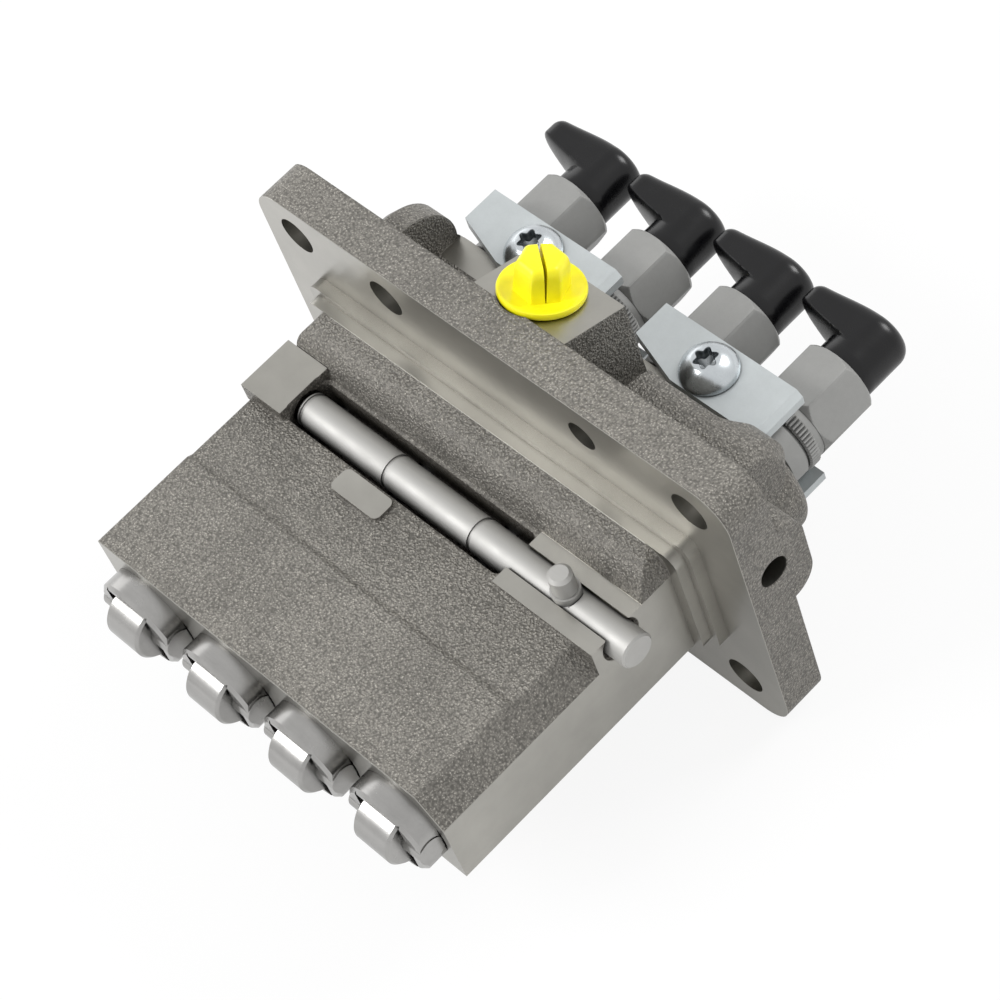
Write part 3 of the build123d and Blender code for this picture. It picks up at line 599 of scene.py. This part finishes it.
@dataclass
class Studio:
    """Camera, floor and lamps."""

    camera_place: Point = (0.367709, -0.185215, 0.563412)
    right: Point = (0.68604709, 0.69038878, -0.22957074)
    up: Point = (-0.5018356, 0.67749162, 0.5377417)
    back: Point = (0.52678309, -0.25370936, 0.81125282)
    lens: float = 124.49
    floor_height: float = -0.0372
    floor_reach: float = 3.0
    floor_pale: float = 0.9
    floor_white: float = 0.9
    floor_mirrored: float = 0.3
    air: float = 0.6
    lamps: Sequence[tuple[str, Point, float, float]] = (
        ("key", (-0.45, -0.7, 0.8), 0.5, 8.5),
        ("strip", (-1.1, 0.3, 0.34), 0.7, 1.6),
        ("rear", (0.35, 1.0, 0.8), 0.5, 8.5),
    )

    def camera(self) -> bpy.types.Object:
        """Sets the camera at the photograph's angle and returns it."""
        data = bpy.data.cameras.new("camera")
        data.lens, data.sensor_width = self.lens, 36.0
        data.clip_start, data.clip_end = 0.01, 20.0
        made = bpy.data.objects.new("camera", data)
        bpy.context.collection.objects.link(made)
        turn = Matrix((self.right, self.up, self.back)).transposed()
        made.matrix_world = Matrix.Translation(self.camera_place) @ turn.to_4x4()
        bpy.context.scene.camera = made
        return made

    @staticmethod
    def _rays() -> tuple[str, str, str]:
        """Names the rays that see the white of floor and air."""
        return "Camera", "Glossy", "Transmission"

    def floor(self) -> bpy.types.Object:
        """Lays the pale floor and returns it."""
        bm = bmesh.new()
        bmesh.ops.create_grid(bm, x_segments=1, y_segments=1, size=self.floor_reach)
        bmesh.ops.translate(bm, verts=bm.verts, vec=(0, 0, self.floor_height))
        made = mesh_object("floor", bm)
        material, tree, shader, _ = start_material("pale_floor")
        shader.inputs["Base Color"].default_value = (*[self.floor_pale] * 3, 1)
        shader.inputs["Roughness"].default_value = 0.9
        path = tree.add("LightPath")
        camera, glossy, through = (path.outputs[f"Is {kind} Ray"] for kind in self._rays())
        seen = tree.maths("MULTIPLY", camera, self.floor_white)
        mirrored = tree.maths("MAXIMUM", glossy, through)
        mirrored = tree.maths("MULTIPLY", mirrored, self.floor_mirrored)
        white = tree.add("Emission", {"Color": (1, 1, 1), "Strength": 1.0})
        mix = tree.add("MixShader")
        tree.feed(mix.inputs[0], tree.maths("MAXIMUM", seen, mirrored))
        tree.tree.links.new(shader.outputs[0], mix.inputs[1])
        tree.tree.links.new(white.outputs[0], mix.inputs[2])
        out = next(n for n in tree.tree.nodes if n.type == "OUTPUT_MATERIAL")
        tree.tree.links.new(mix.outputs[0], out.inputs[0])
        made.data.materials.append(material)
        return made

    def world(self) -> None:
        """Lights the air evenly, white to the camera and to reflections."""
        world = bpy.data.worlds.new("studio")
        bpy.context.scene.world = world
        world.use_nodes = True
        world.node_tree.nodes.clear()
        tree = Tree(world.node_tree)
        path = tree.add("LightPath")
        camera, glossy, through = (path.outputs[f"Is {kind} Ray"] for kind in self._rays())
        seen = tree.maths("MAXIMUM", tree.maths("MAXIMUM", camera, glossy), through)
        strength = tree.ramp(seen, 0.0, 1.0, self.air, 1.0)
        lamp = tree.add("Background", {"Color": (1, 1, 1), "Strength": strength})
        tree.tree.links.new(lamp.outputs[0], tree.add("OutputWorld").inputs[0])

    def lamp(self, name: str, place: Point, size: float, power: float) -> None:
        """Hangs one soft square lamp that looks at the origin.

        Args:
            name: Name of the lamp.
            place: Where it hangs.
            size: Side of the square.
            power: Watts.
        """
        data = bpy.data.lights.new(name, "AREA")
        data.size, data.energy = size, power
        made = bpy.data.objects.new(name, data)
        bpy.context.collection.objects.link(made)
        made.location = place
        made.rotation_euler = (-Vector(place)).to_track_quat("-Z", "Y").to_euler()

    def build(self) -> None:
        """Sets up camera, floor, air and lamps."""
        self.camera()
        self.floor()
        self.world()
        for name, spot, size, power in self.lamps:
            self.lamp(name, spot, size, power)


# Mesh helpers


def mesh_object(name: str, bm: bmesh.types.BMesh, smooth_below: float = 0.0) -> bpy.types.Object:
    """Turns a bmesh into an object at the origin, with a closed body's faces looking outward.

    Args:
        name: Name of the object and its mesh.
        bm: Finished bmesh, freed here.
        smooth_below: Angle in degrees under which an edge is smooth, 0 for flat shading.

    Returns:
        The new object.
    """
    bmesh.ops.recalc_face_normals(bm, faces=bm.faces)
    closed = all(edge.is_manifold for edge in bm.edges)
    if closed and bm.calc_volume(signed=True) < 0:
        bmesh.ops.reverse_faces(bm, faces=bm.faces)
    data = bpy.data.meshes.new(name)
    bm.to_mesh(data)
    bm.free()
    made = bpy.data.objects.new(name, data)
    bpy.context.collection.objects.link(made)
    if smooth_below:
        data.shade_smooth()
        data.set_sharp_from_angle(angle=math.radians(smooth_below))
    return made


def add_bevel(piece: bpy.types.Object, width: float) -> None:
    """Rounds the edges of a piece that are sharper than 35 degrees.

    Args:
        piece: Object to round.
        width: Width of the rounding in metres.
    """
    bevel = piece.modifiers.new("edge_round", "BEVEL")
    bevel.width, bevel.segments = width, 3
    bevel.limit_method, bevel.angle_limit = "ANGLE", math.radians(35.0)


def keep_side(bm: bmesh.types.BMesh, point: Vector, way: Vector) -> None:
    """Cuts a solid along a plane and closes the side that stays.

    Args:
        bm: Bmesh of the closed solid.
        point: Point on the plane.
        way: Direction of the side that stays.
    """
    every = [*bm.verts, *bm.edges, *bm.faces]
    bmesh.ops.bisect_plane(bm, geom=every, plane_co=point, plane_no=way, clear_inner=True)
    bmesh.ops.remove_doubles(bm, verts=bm.verts, dist=0.001 * MM)
    bmesh.ops.edgenet_fill(bm, edges=[edge for edge in bm.edges if edge.is_boundary])


def axis_frame(origin: Vector, axis: Vector, start: Vector) -> Matrix:
    """Makes the frame of a round piece.

    Args:
        origin: Point on its axis.
        axis: Direction of the axis, its local Z.
        start: Direction of angle 0, its local X.

    Returns:
        The frame as a matrix.
    """
    side = axis.cross(start)
    return Matrix.Translation(origin) @ Matrix((start, side, axis)).transposed().to_4x4()


@dataclass
class Turned:
    """A body skinned over rings that stand along one axis."""

    frame: Matrix
    points: int

    def ring(
        self, bm: bmesh.types.BMesh, level: int, cap: bool
    ) -> tuple[list[bmesh.types.BMVert], list[bmesh.types.BMEdge]]:
        """Adds one plain ring of radius 1.

        Args:
            bm: Bmesh that takes it.
            level: Number of the ring, which is its height until it is shaped.
            cap: Fills the ring with a face.

        Returns:
            The ring's vertices and edges.
        """
        made = bmesh.ops.create_circle(bm, cap_ends=cap, radius=1.0, segments=self.points)["verts"]
        bmesh.ops.translate(bm, verts=made, vec=(0, 0, level))
        return made, list({edge for vert in made for edge in vert.link_edges})

    def shape(self, verts: Sequence[bmesh.types.BMVert], height: float, radius: Radius) -> None:
        """Moves a plain ring's vertices to their place on the axis.

        Args:
            verts: Vertices of the ring.
            height: Place along the axis in metres.
            radius: Radius, or its value at each angle.
        """
        for vert in verts:
            reach = radius(math.atan2(vert.co.y, vert.co.x)) if callable(radius) else radius
            vert.co = self.frame @ Vector((vert.co.x * reach, vert.co.y * reach, height))

    def skin(self, bm: bmesh.types.BMesh, profile: Sequence[tuple[float, Radius]]) -> None:
        """Joins plain rings, caps both ends and then shapes each ring by the profile.

        Args:
            bm: Bmesh that takes the body.
            profile: Height and radius of each ring.
        """
        last = len(profile) - 1
        rings = [self.ring(bm, level, level in (0, last)) for level in range(last + 1)]
        for (_, low), (_, high) in zip(rings, rings[1:]):
            bmesh.ops.bridge_loops(bm, edges=low + high)
        for (verts, _), (height, radius) in zip(rings, profile):
            self.shape(verts, height, radius)


def clipped(value: float) -> float:
    """Keeps a share between 0 and 1."""
    return min(1.0, max(0.0, value))


def hexagon(across_flats: float, turn: float, limit: float) -> Callable[[float], float]:
    """Gives the radius of a hexagon whose corners are cut back to a circle.

    Args:
        across_flats: Distance between opposite flats.
        turn: Angle of one flat's middle in radians.
        limit: Radius of the circle.

    Returns:
        A function from angle to radius.
    """

    def at(angle: float) -> float:
        """Radius at one angle."""
        off = (angle - turn + math.pi / 6) % (math.pi / 3) - math.pi / 6
        return min(across_flats / 2 / math.cos(off), limit)

    return at


# Pieces of the pump


@dataclass
class LockScrew:
    """Domed screw with a six-lobed recess."""

    x: float
    side: int
    y: float = 33.0 * MM
    seat: float = 16.0 * MM
    shank: float = 2.5 * MM
    shank_length: float = 6.0 * MM
    head: float = 6.3 * MM
    edge: float = 0.8 * MM
    height: float = 5.0 * MM
    recess: float = 2.2 * MM
    lobe: float = 0.4 * MM
    recess_depth: float = 2.7 * MM
    break_edge: float = 0.25 * MM

    def _lobes(self, angle: float) -> float:
        """Radius of the recess at an angle."""
        return self.recess + self.lobe * math.cos(6 * angle)

    def _dome(self) -> list[tuple[float, float]]:
        """Heights and radii up the dome, from its edge to the recess."""
        rise = self.height - self.edge
        ball = (self.head**2 + rise**2) / (2 * rise)
        flat = self.recess + self.lobe + 0.35 * MM
        steps = 12
        radii = [self.head + (flat - self.head) * step / steps for step in range(steps + 1)]
        return [(self.height - ball + math.sqrt(ball**2 - r**2), r) for r in radii]

    def build(self, name: str) -> bpy.types.Object:
        """Builds the screw.

        Args:
            name: Name of the piece.

        Returns:
            The finished piece.
        """
        foot = Vector((self.x, self.y, self.side * self.seat))
        frame = axis_frame(foot, Vector((0, 0, self.side)), Vector((1, 0, 0)))
        dome = self._dome()
        top = dome[-1][0]
        profile = [
            (-self.shank_length, self.shank),
            (0.0, self.shank),
            (0.0, self.head - self.break_edge),
            (self.break_edge, self.head),
            *dome,
            (top + 0.02 * MM, lambda a: self._lobes(a) + 0.12 * MM),
            (top - 0.15 * MM, self._lobes),
            (top - self.recess_depth, self._lobes),
            (top - self.recess_depth - 0.5 * MM, self.shank / 3),
        ]
        bm = bmesh.new()
        Turned(frame, 144).skin(bm, profile)
        return mesh_object(name, bm, 40)


@dataclass
class DeliveryUnion:
    """Union with a knurled collar, a chamfered hexagon and a nipple."""

    x: float
    bottom: float = 27.0 * MM
    neck: float = 8.05 * MM
    collar: float = 8.7 * MM
    collar_low: float = 30.6 * MM
    collar_high: float = 35.2 * MM
    groove: float = 7.9 * MM
    knurl_low: float = 35.7 * MM
    knurl_high: float = 38.3 * MM
    knurl: float = 9.0 * MM
    knurl_depth: float = 0.6 * MM
    knurl_ridges: int = 60
    hex_low: float = 40.0 * MM
    hex_top: float = 53.8 * MM
    across_flats: float = 17.0 * MM
    chamfer: float = 1.4 * MM
    nipple: float = 5.9 * MM
    nipple_top: float = 64.0 * MM
    bore: float = 1.5 * MM
    bore_end: float = 46.0 * MM
    break_edge: float = 0.3 * MM
    point: float = 1.0 * MM

    def _ridges(self, angle: float) -> float:
        """Radius of the knurl at an angle."""
        wave = 0.5 + 0.5 * math.cos(self.knurl_ridges * angle)
        return self.knurl - self.knurl_depth + self.knurl_depth * wave**0.45

    def _hex_sections(self) -> list[tuple[float, Callable[[float], float]]]:
        """Sections of the hexagon with a cone at both ends."""
        corner = self.across_flats / math.sqrt(3)
        face = self.across_flats / 2 + 0.05 * MM
        steps = 5
        rise = [self.chamfer * step / steps for step in range(steps + 1)]
        reach = [face + (corner - face) * step / steps for step in range(steps + 1)]
        rings = [(up, hexagon(self.across_flats, math.pi / 2, r)) for up, r in zip(rise, reach)]
        low = [(self.hex_low + up, ring) for up, ring in rings]
        high = [(self.hex_top - up, ring) for up, ring in rings]
        return low + high[::-1]

    def build(self, name: str) -> bpy.types.Object:
        """Builds the union.

        Args:
            name: Name of the piece.

        Returns:
            The finished piece.
        """
        frame = axis_frame(Vector((self.x, 0, 0)), Vector((0, 1, 0)), Vector((1, 0, 0)))
        soft = self.knurl - self.knurl_depth
        profile = [
            (self.bottom, self.neck - 0.5 * MM),
            (self.bottom + 0.5 * MM, self.neck),
            (self.collar_low, self.neck),
            (self.collar_low, self.collar - 0.2 * MM),
            (self.collar_low + 0.2 * MM, self.collar),
            (self.collar_high - self.break_edge, self.collar),
            (self.collar_high, self.collar - self.break_edge),
            (self.collar_high, self.groove),
            (self.knurl_low, self.groove),
            (self.knurl_low, soft),
            (self.knurl_low + self.break_edge, self._ridges),
            (self.knurl_high, self._ridges),
            (self.knurl_high + self.break_edge, soft),
            (self.hex_low, soft),
            *self._hex_sections(),
            (self.hex_top, self.nipple + self.break_edge),
            (self.hex_top + self.break_edge, self.nipple),
            (self.nipple_top - self.point, self.nipple),
            (self.nipple_top, self.nipple - self.point),
            (self.nipple_top, self.bore),
            (self.bore_end, self.bore),
        ]
        bm = bmesh.new()
        Turned(frame, 360).skin(bm, profile)
        return mesh_object(name, bm, 28)


@dataclass
class Tappet:
    """Roller tappet with a pocket for its roller, a cup above and a flat at each pin end."""

    x: float
    radius: float = 10.8 * MM
    top: float = -50.0 * MM
    bottom: float = -75.6 * MM
    chamfer: float = 0.8 * MM
    cup: float = 8.7 * MM
    cup_floor: float = -63.5 * MM
    pocket_top: float = -65.4 * MM
    pocket_width: float = 6.2 * MM
    pocket_depth: float = 8.4 * MM
    pin_flat: float = 10.0 * MM

    def _part(self, keep: Sequence[tuple[Point, Point]]) -> bpy.types.Mesh:
        """Turns the tappet's solid and cuts it down to one part.

        Args:
            keep: Point and direction of each plane, with the kept side where it points.

        Returns:
            The closed part as a mesh.
        """
        frame = axis_frame(Vector((self.x, 0, 0)), Vector((0, 1, 0)), Vector((1, 0, 0)))
        profile = [
            (self.cup_floor, self.cup),
            (self.top, self.cup),
            (self.top, self.radius),
            (self.bottom + self.chamfer, self.radius),
            (self.bottom, self.radius - self.chamfer),
        ]
        bm = bmesh.new()
        Turned(frame, 160).skin(bm, profile)
        for point, way in keep:
            keep_side(bm, Vector(point) + Vector((self.x, 0, 0)), Vector(way))
        data = bpy.data.meshes.new("tappet_part")
        bm.to_mesh(data)
        bm.free()
        return data

    def build(self, name: str) -> bpy.types.Object:
        """Builds the tappet from its upper end, two legs and the two walls of the pocket.

        Args:
            name: Name of the piece.

        Returns:
            The finished piece.
        """
        above = ((0.0, self.pocket_top, 0.0), (0, 1, 0))
        below = ((0.0, self.pocket_top, 0.0), (0, -1, 0))
        parts = [[above]]
        for side in (1, -1):
            leg = ((side * self.pocket_width, 0.0, 0.0), (side, 0, 0))
            flat = ((side * self.pin_flat, 0.0, 0.0), (-side, 0, 0))
            wall = ((0.0, 0.0, side * self.pocket_depth), (0, 0, side))
            ends = [((end * self.pocket_width, 0.0, 0.0), (-end, 0, 0)) for end in (1, -1)]
            parts += [[below, leg, flat], [below, wall, *ends]]
        bm = bmesh.new()
        for keep in parts:
            data = self._part(keep)
            bm.from_mesh(data)
            bpy.data.meshes.remove(data)
        return mesh_object(name, bm, 30)


@dataclass
class Cap:
    """Moulded cap with a wing to pull it off by."""

    x: float
    radius: float = 6.9 * MM
    bottom: float = 54.0 * MM
    top: float = 67.8 * MM
    roof: float = 65.0 * MM
    bore: float = 5.95 * MM
    round: float = 3.0 * MM
    wing_turn: float = 17.0
    wing_reach: float = 16.8 * MM
    wing_tip: float = 2.7 * MM
    wing_low: float = 58.8 * MM
    wing_rise: float = 3.4 * MM
    wing_drop: float = 1.3 * MM
    break_edge: float = 0.3 * MM

    def _outline(self, share: float, inset: float) -> Callable[[float], float]:
        """Gives the outline of cap and wing at one height.

        Args:
            share: How far the wing has come out, 0 to 1.
            inset: Rounding taken off all round.

        Returns:
            A function from angle to radius.
        """
        reach = self.wing_reach - self.wing_tip
        circles = 40

        def at(angle: float) -> float:
            """Radius at one angle, the furthest of the circles between cap and tip."""
            best = 0.0
            for step in range(circles + 1):
                part = share * step / circles
                width = self.radius + (self.wing_tip - self.radius) * part - inset
                off = reach * part
                rest = width**2 - (off * math.sin(angle)) ** 2
                if width > 0 and rest >= 0:
                    best = max(best, off * math.cos(angle) + math.sqrt(rest))
            return best

        return at

    def _sections(self) -> list[tuple[float, Callable[[float], float]]]:
        """Outer sections from the open end to the top."""
        made = [
            (self.bottom, self._outline(0.0, self.break_edge)),
            (self.bottom + self.break_edge, self._outline(0.0, 0.0)),
        ]
        shoulder = self.top - self.round
        start = self.wing_low - 2 * MM
        steps, round_steps = 26, 10
        for step in range(steps + 1):
            height = start + (shoulder - start) * step / steps
            out = clipped((height - self.wing_low) / self.wing_rise)
            made.append((height, self._outline(out * (2 - out), 0.0)))
        for step in range(1, round_steps + 1):
            turn = math.pi / 2 * step / round_steps
            inset = 0.8 * self.round * (1 - math.cos(turn))
            made.append((shoulder + self.round * math.sin(turn), self._outline(1.0, inset)))
        return made

    def _lower_wing(self, bm: bmesh.types.BMesh, frame: Matrix) -> None:
        """Lets the top of the wing fall away towards its tip.

        Args:
            bm: Bmesh of the cap.
            frame: Frame of the cap.
        """
        back = frame.inverted()
        start = 0.4 * self.radius
        for vert in bm.verts:
            here = back @ vert.co
            out = clipped((here.x - start) / (self.wing_reach - start))
            up = clipped((here.z - self.wing_low) / (self.top - self.wing_low))
            vert.co.y -= self.wing_drop * up * out * out * (3 - 2 * out)

    def build(self, name: str) -> bpy.types.Object:
        """Builds the cap.

        Args:
            name: Name of the piece.

        Returns:
            The finished piece.
        """
        turn = math.radians(self.wing_turn)
        wing = Vector((-math.cos(turn), 0, math.sin(turn)))
        frame = axis_frame(Vector((self.x, 0, 0)), Vector((0, 1, 0)), wing)
        profile = [
            (self.roof, self.bore),
            (self.bottom + self.break_edge, self.bore),
            (self.bottom, self.bore + 0.2 * MM),
            *self._sections(),
        ]
        bm = bmesh.new()
        Turned(frame, 192).skin(bm, profile)
        self._lower_wing(bm, frame)
        return mesh_object(name, bm, 50)


@dataclass
class TransportPlug:
    """Yellow plug in the inlet, with a slotted hexagonal knob on a dished flange."""

    centre: Point = (0.0, 17.7 * MM, 39.5 * MM)
    tilt: float = 18.4
    turn: float = -35.0
    shank: float = 5.9 * MM
    shank_length: float = 9.0 * MM
    flange: float = 9.0 * MM
    flange_height: float = 1.8 * MM
    knob: float = 9.7 * MM
    knob_low: float = 1.2 * MM
    knob_edge: float = 6.7 * MM
    knob_top: float = 9.05 * MM
    slot_low: float = 0.15 * MM
    slot_high: float = 0.36 * MM

    def _frame(self) -> Matrix:
        """Frame of the plug, with the slot along its local X."""
        tilt, turn = math.radians(self.tilt), math.radians(self.turn)
        normal = Vector((0.0, math.sin(tilt), math.cos(tilt)))
        side = Vector((0.0, math.cos(tilt), -math.sin(tilt)))
        along = Vector((1, 0, 0)) * math.cos(turn) + side * math.sin(turn)
        return axis_frame(Vector(self.centre), normal, along)

    def _flange(self, frame: Matrix) -> bmesh.types.BMesh:
        """Builds the shank and the dished flange.

        Args:
            frame: Frame of the plug.

        Returns:
            The closed body.
        """
        bm = bmesh.new()
        profile = [
            (-self.shank_length, self.shank - 0.8 * MM),
            (-self.shank_length + 0.8 * MM, self.shank),
            (0.0, self.shank),
            (0.05 * MM, self.flange - 0.5 * MM),
            (0.35 * MM, self.flange - 0.1 * MM),
            (0.75 * MM, self.flange),
            (self.flange_height - 0.5 * MM, self.flange),
            (self.flange_height - 0.1 * MM, self.flange - 0.15 * MM),
            (self.flange_height, self.flange - 0.45 * MM),
            (self.flange_height - 0.12 * MM, self.flange - 0.9 * MM),
            (self.flange_height - 0.4 * MM, self.flange - 1.8 * MM),
            (self.flange_height - 0.45 * MM, self.shank - 0.5 * MM),
        ]
        Turned(frame, 128).skin(bm, profile)
        return bm

    def _half_knob(self, frame: Matrix, side: int) -> bmesh.types.BMesh:
        """Builds the knob on one side of its slot.

        Args:
            frame: Frame of the plug.
            side: 1 or -1.

        Returns:
            The closed half.
        """
        bm = bmesh.new()
        rise = self.knob_top - self.knob_edge
        profile = [(self.knob_low, hexagon(self.knob * 1.04, 0.0, self.knob * 0.595))]
        profile.append((self.knob_edge, hexagon(self.knob, 0.0, self.knob * 0.57)))
        steps = 8
        for step in range(1, steps + 1):
            part = step / steps
            size = self.knob * (1 - 0.3 * part**1.6)
            height = self.knob_edge + rise * math.sin(part * math.pi / 2)
            profile.append((height, hexagon(size, 0.0, size * 0.56)))
        Turned(frame, 96).skin(bm, profile)
        low = frame @ Vector((0, side * self.slot_low, self.flange_height))
        high = frame @ Vector((0, side * self.slot_high, self.knob_top))
        along = frame.to_3x3() @ Vector((1, 0, 0))
        normal = along.cross(high - low).normalized()
        if normal.dot(frame.to_3x3() @ Vector((0, side, 0))) < 0:
            normal.negate()
        keep_side(bm, low, normal)
        return bm

    def build(self) -> list[bpy.types.Object]:
        """Builds the flange and the two halves of the knob.

        Returns:
            The three pieces.
        """
        frame = self._frame()
        pieces = [mesh_object("plug_flange", self._flange(frame), 40)]
        for side, name in ((1, "plug_knob_far"), (-1, "plug_knob_near")):
            half = mesh_object(name, self._half_knob(frame, side), 25)
            add_bevel(half, 0.28 * MM)
            pieces.append(half)
        return pieces


def dress(
    nodes: dict[str, bpy.types.Object],
    slots: dict[str, str],
    made: dict[str, bpy.types.Material],
) -> None:
    """Gives each frame node the material of its slot.

    Args:
        nodes: Frame nodes by name.
        slots: Material slot of each node.
        made: Materials by slot.
    """
    for name, piece in nodes.items():
        piece.data.materials.clear()
        piece.data.materials.append(made[slots[name]])
        log.info("dressed %s in %s", name, slots[name])


def place(
    piece: bpy.types.Object,
    made: dict[str, bpy.types.Material],
    slot: str,
    body: str,
    node: str,
) -> None:
    """Dresses a new piece and lets it ride in the place of a frame node.

    Args:
        piece: New piece.
        made: Materials by slot.
        slot: Slot of its finish.
        body: Body that it moves with.
        node: Frame node that it stands for.
    """
    piece.data.materials.append(made[slot])
    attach(piece, body)
    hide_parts(node)
    log.info("built %s for %s", piece.name, node)


def build_pieces(made: dict[str, bpy.types.Material]) -> None:
    """Builds the pieces that stand for frame nodes.

    Args:
        made: Materials by slot.
    """
    for x in SCREW_PLACES:
        for side in (1, -1):
            name = f"lock_screw_{'left' if x < 0 else 'right'}_{'front' if side > 0 else 'back'}"
            place(LockScrew(x, side).build(name), made, "bright_zinc", "pump", "lock_screws")
    for number, x in enumerate(ROW, start=1):
        union = DeliveryUnion(x).build(f"union_{number}")
        place(union, made, "phosphated_steel", "pump", f"delivery_union_{number}")
        cap = Cap(x).build(f"shaped_cap_{number}")
        place(cap, made, "black_plastic", f"cap_set_{number}", f"cap_{number}")
        tappet = Tappet(x).build(f"pocket_tappet_{number}")
        place(tappet, made, "polished_steel", f"tappet_set_{number}", f"tappet_{number}")
    for piece in TransportPlug().build():
        place(piece, made, "yellow_plastic", "plug", "inlet_plug")


def main() -> None:
    """Builds the studio, the finishes and the pieces in order."""
    logging.basicConfig(level=logging.INFO, format="%(name)s: %(message)s")
    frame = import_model()
    Studio().build()
    effects = Effects()
    made = {finish.name: finish.make(effects) for finish in (*METALS, *PLASTICS, HOUSING)}
    slots = {part["node"]: part["material_slot"] for part in frame["record"]["subparts"]}
    dress(frame["nodes"], slots, made)
    build_pieces(made)
    bpy.context.view_layer.update()
    bpy.context.scene.view_settings.view_transform = "Standard"


if __name__ == "__main__":
    main()
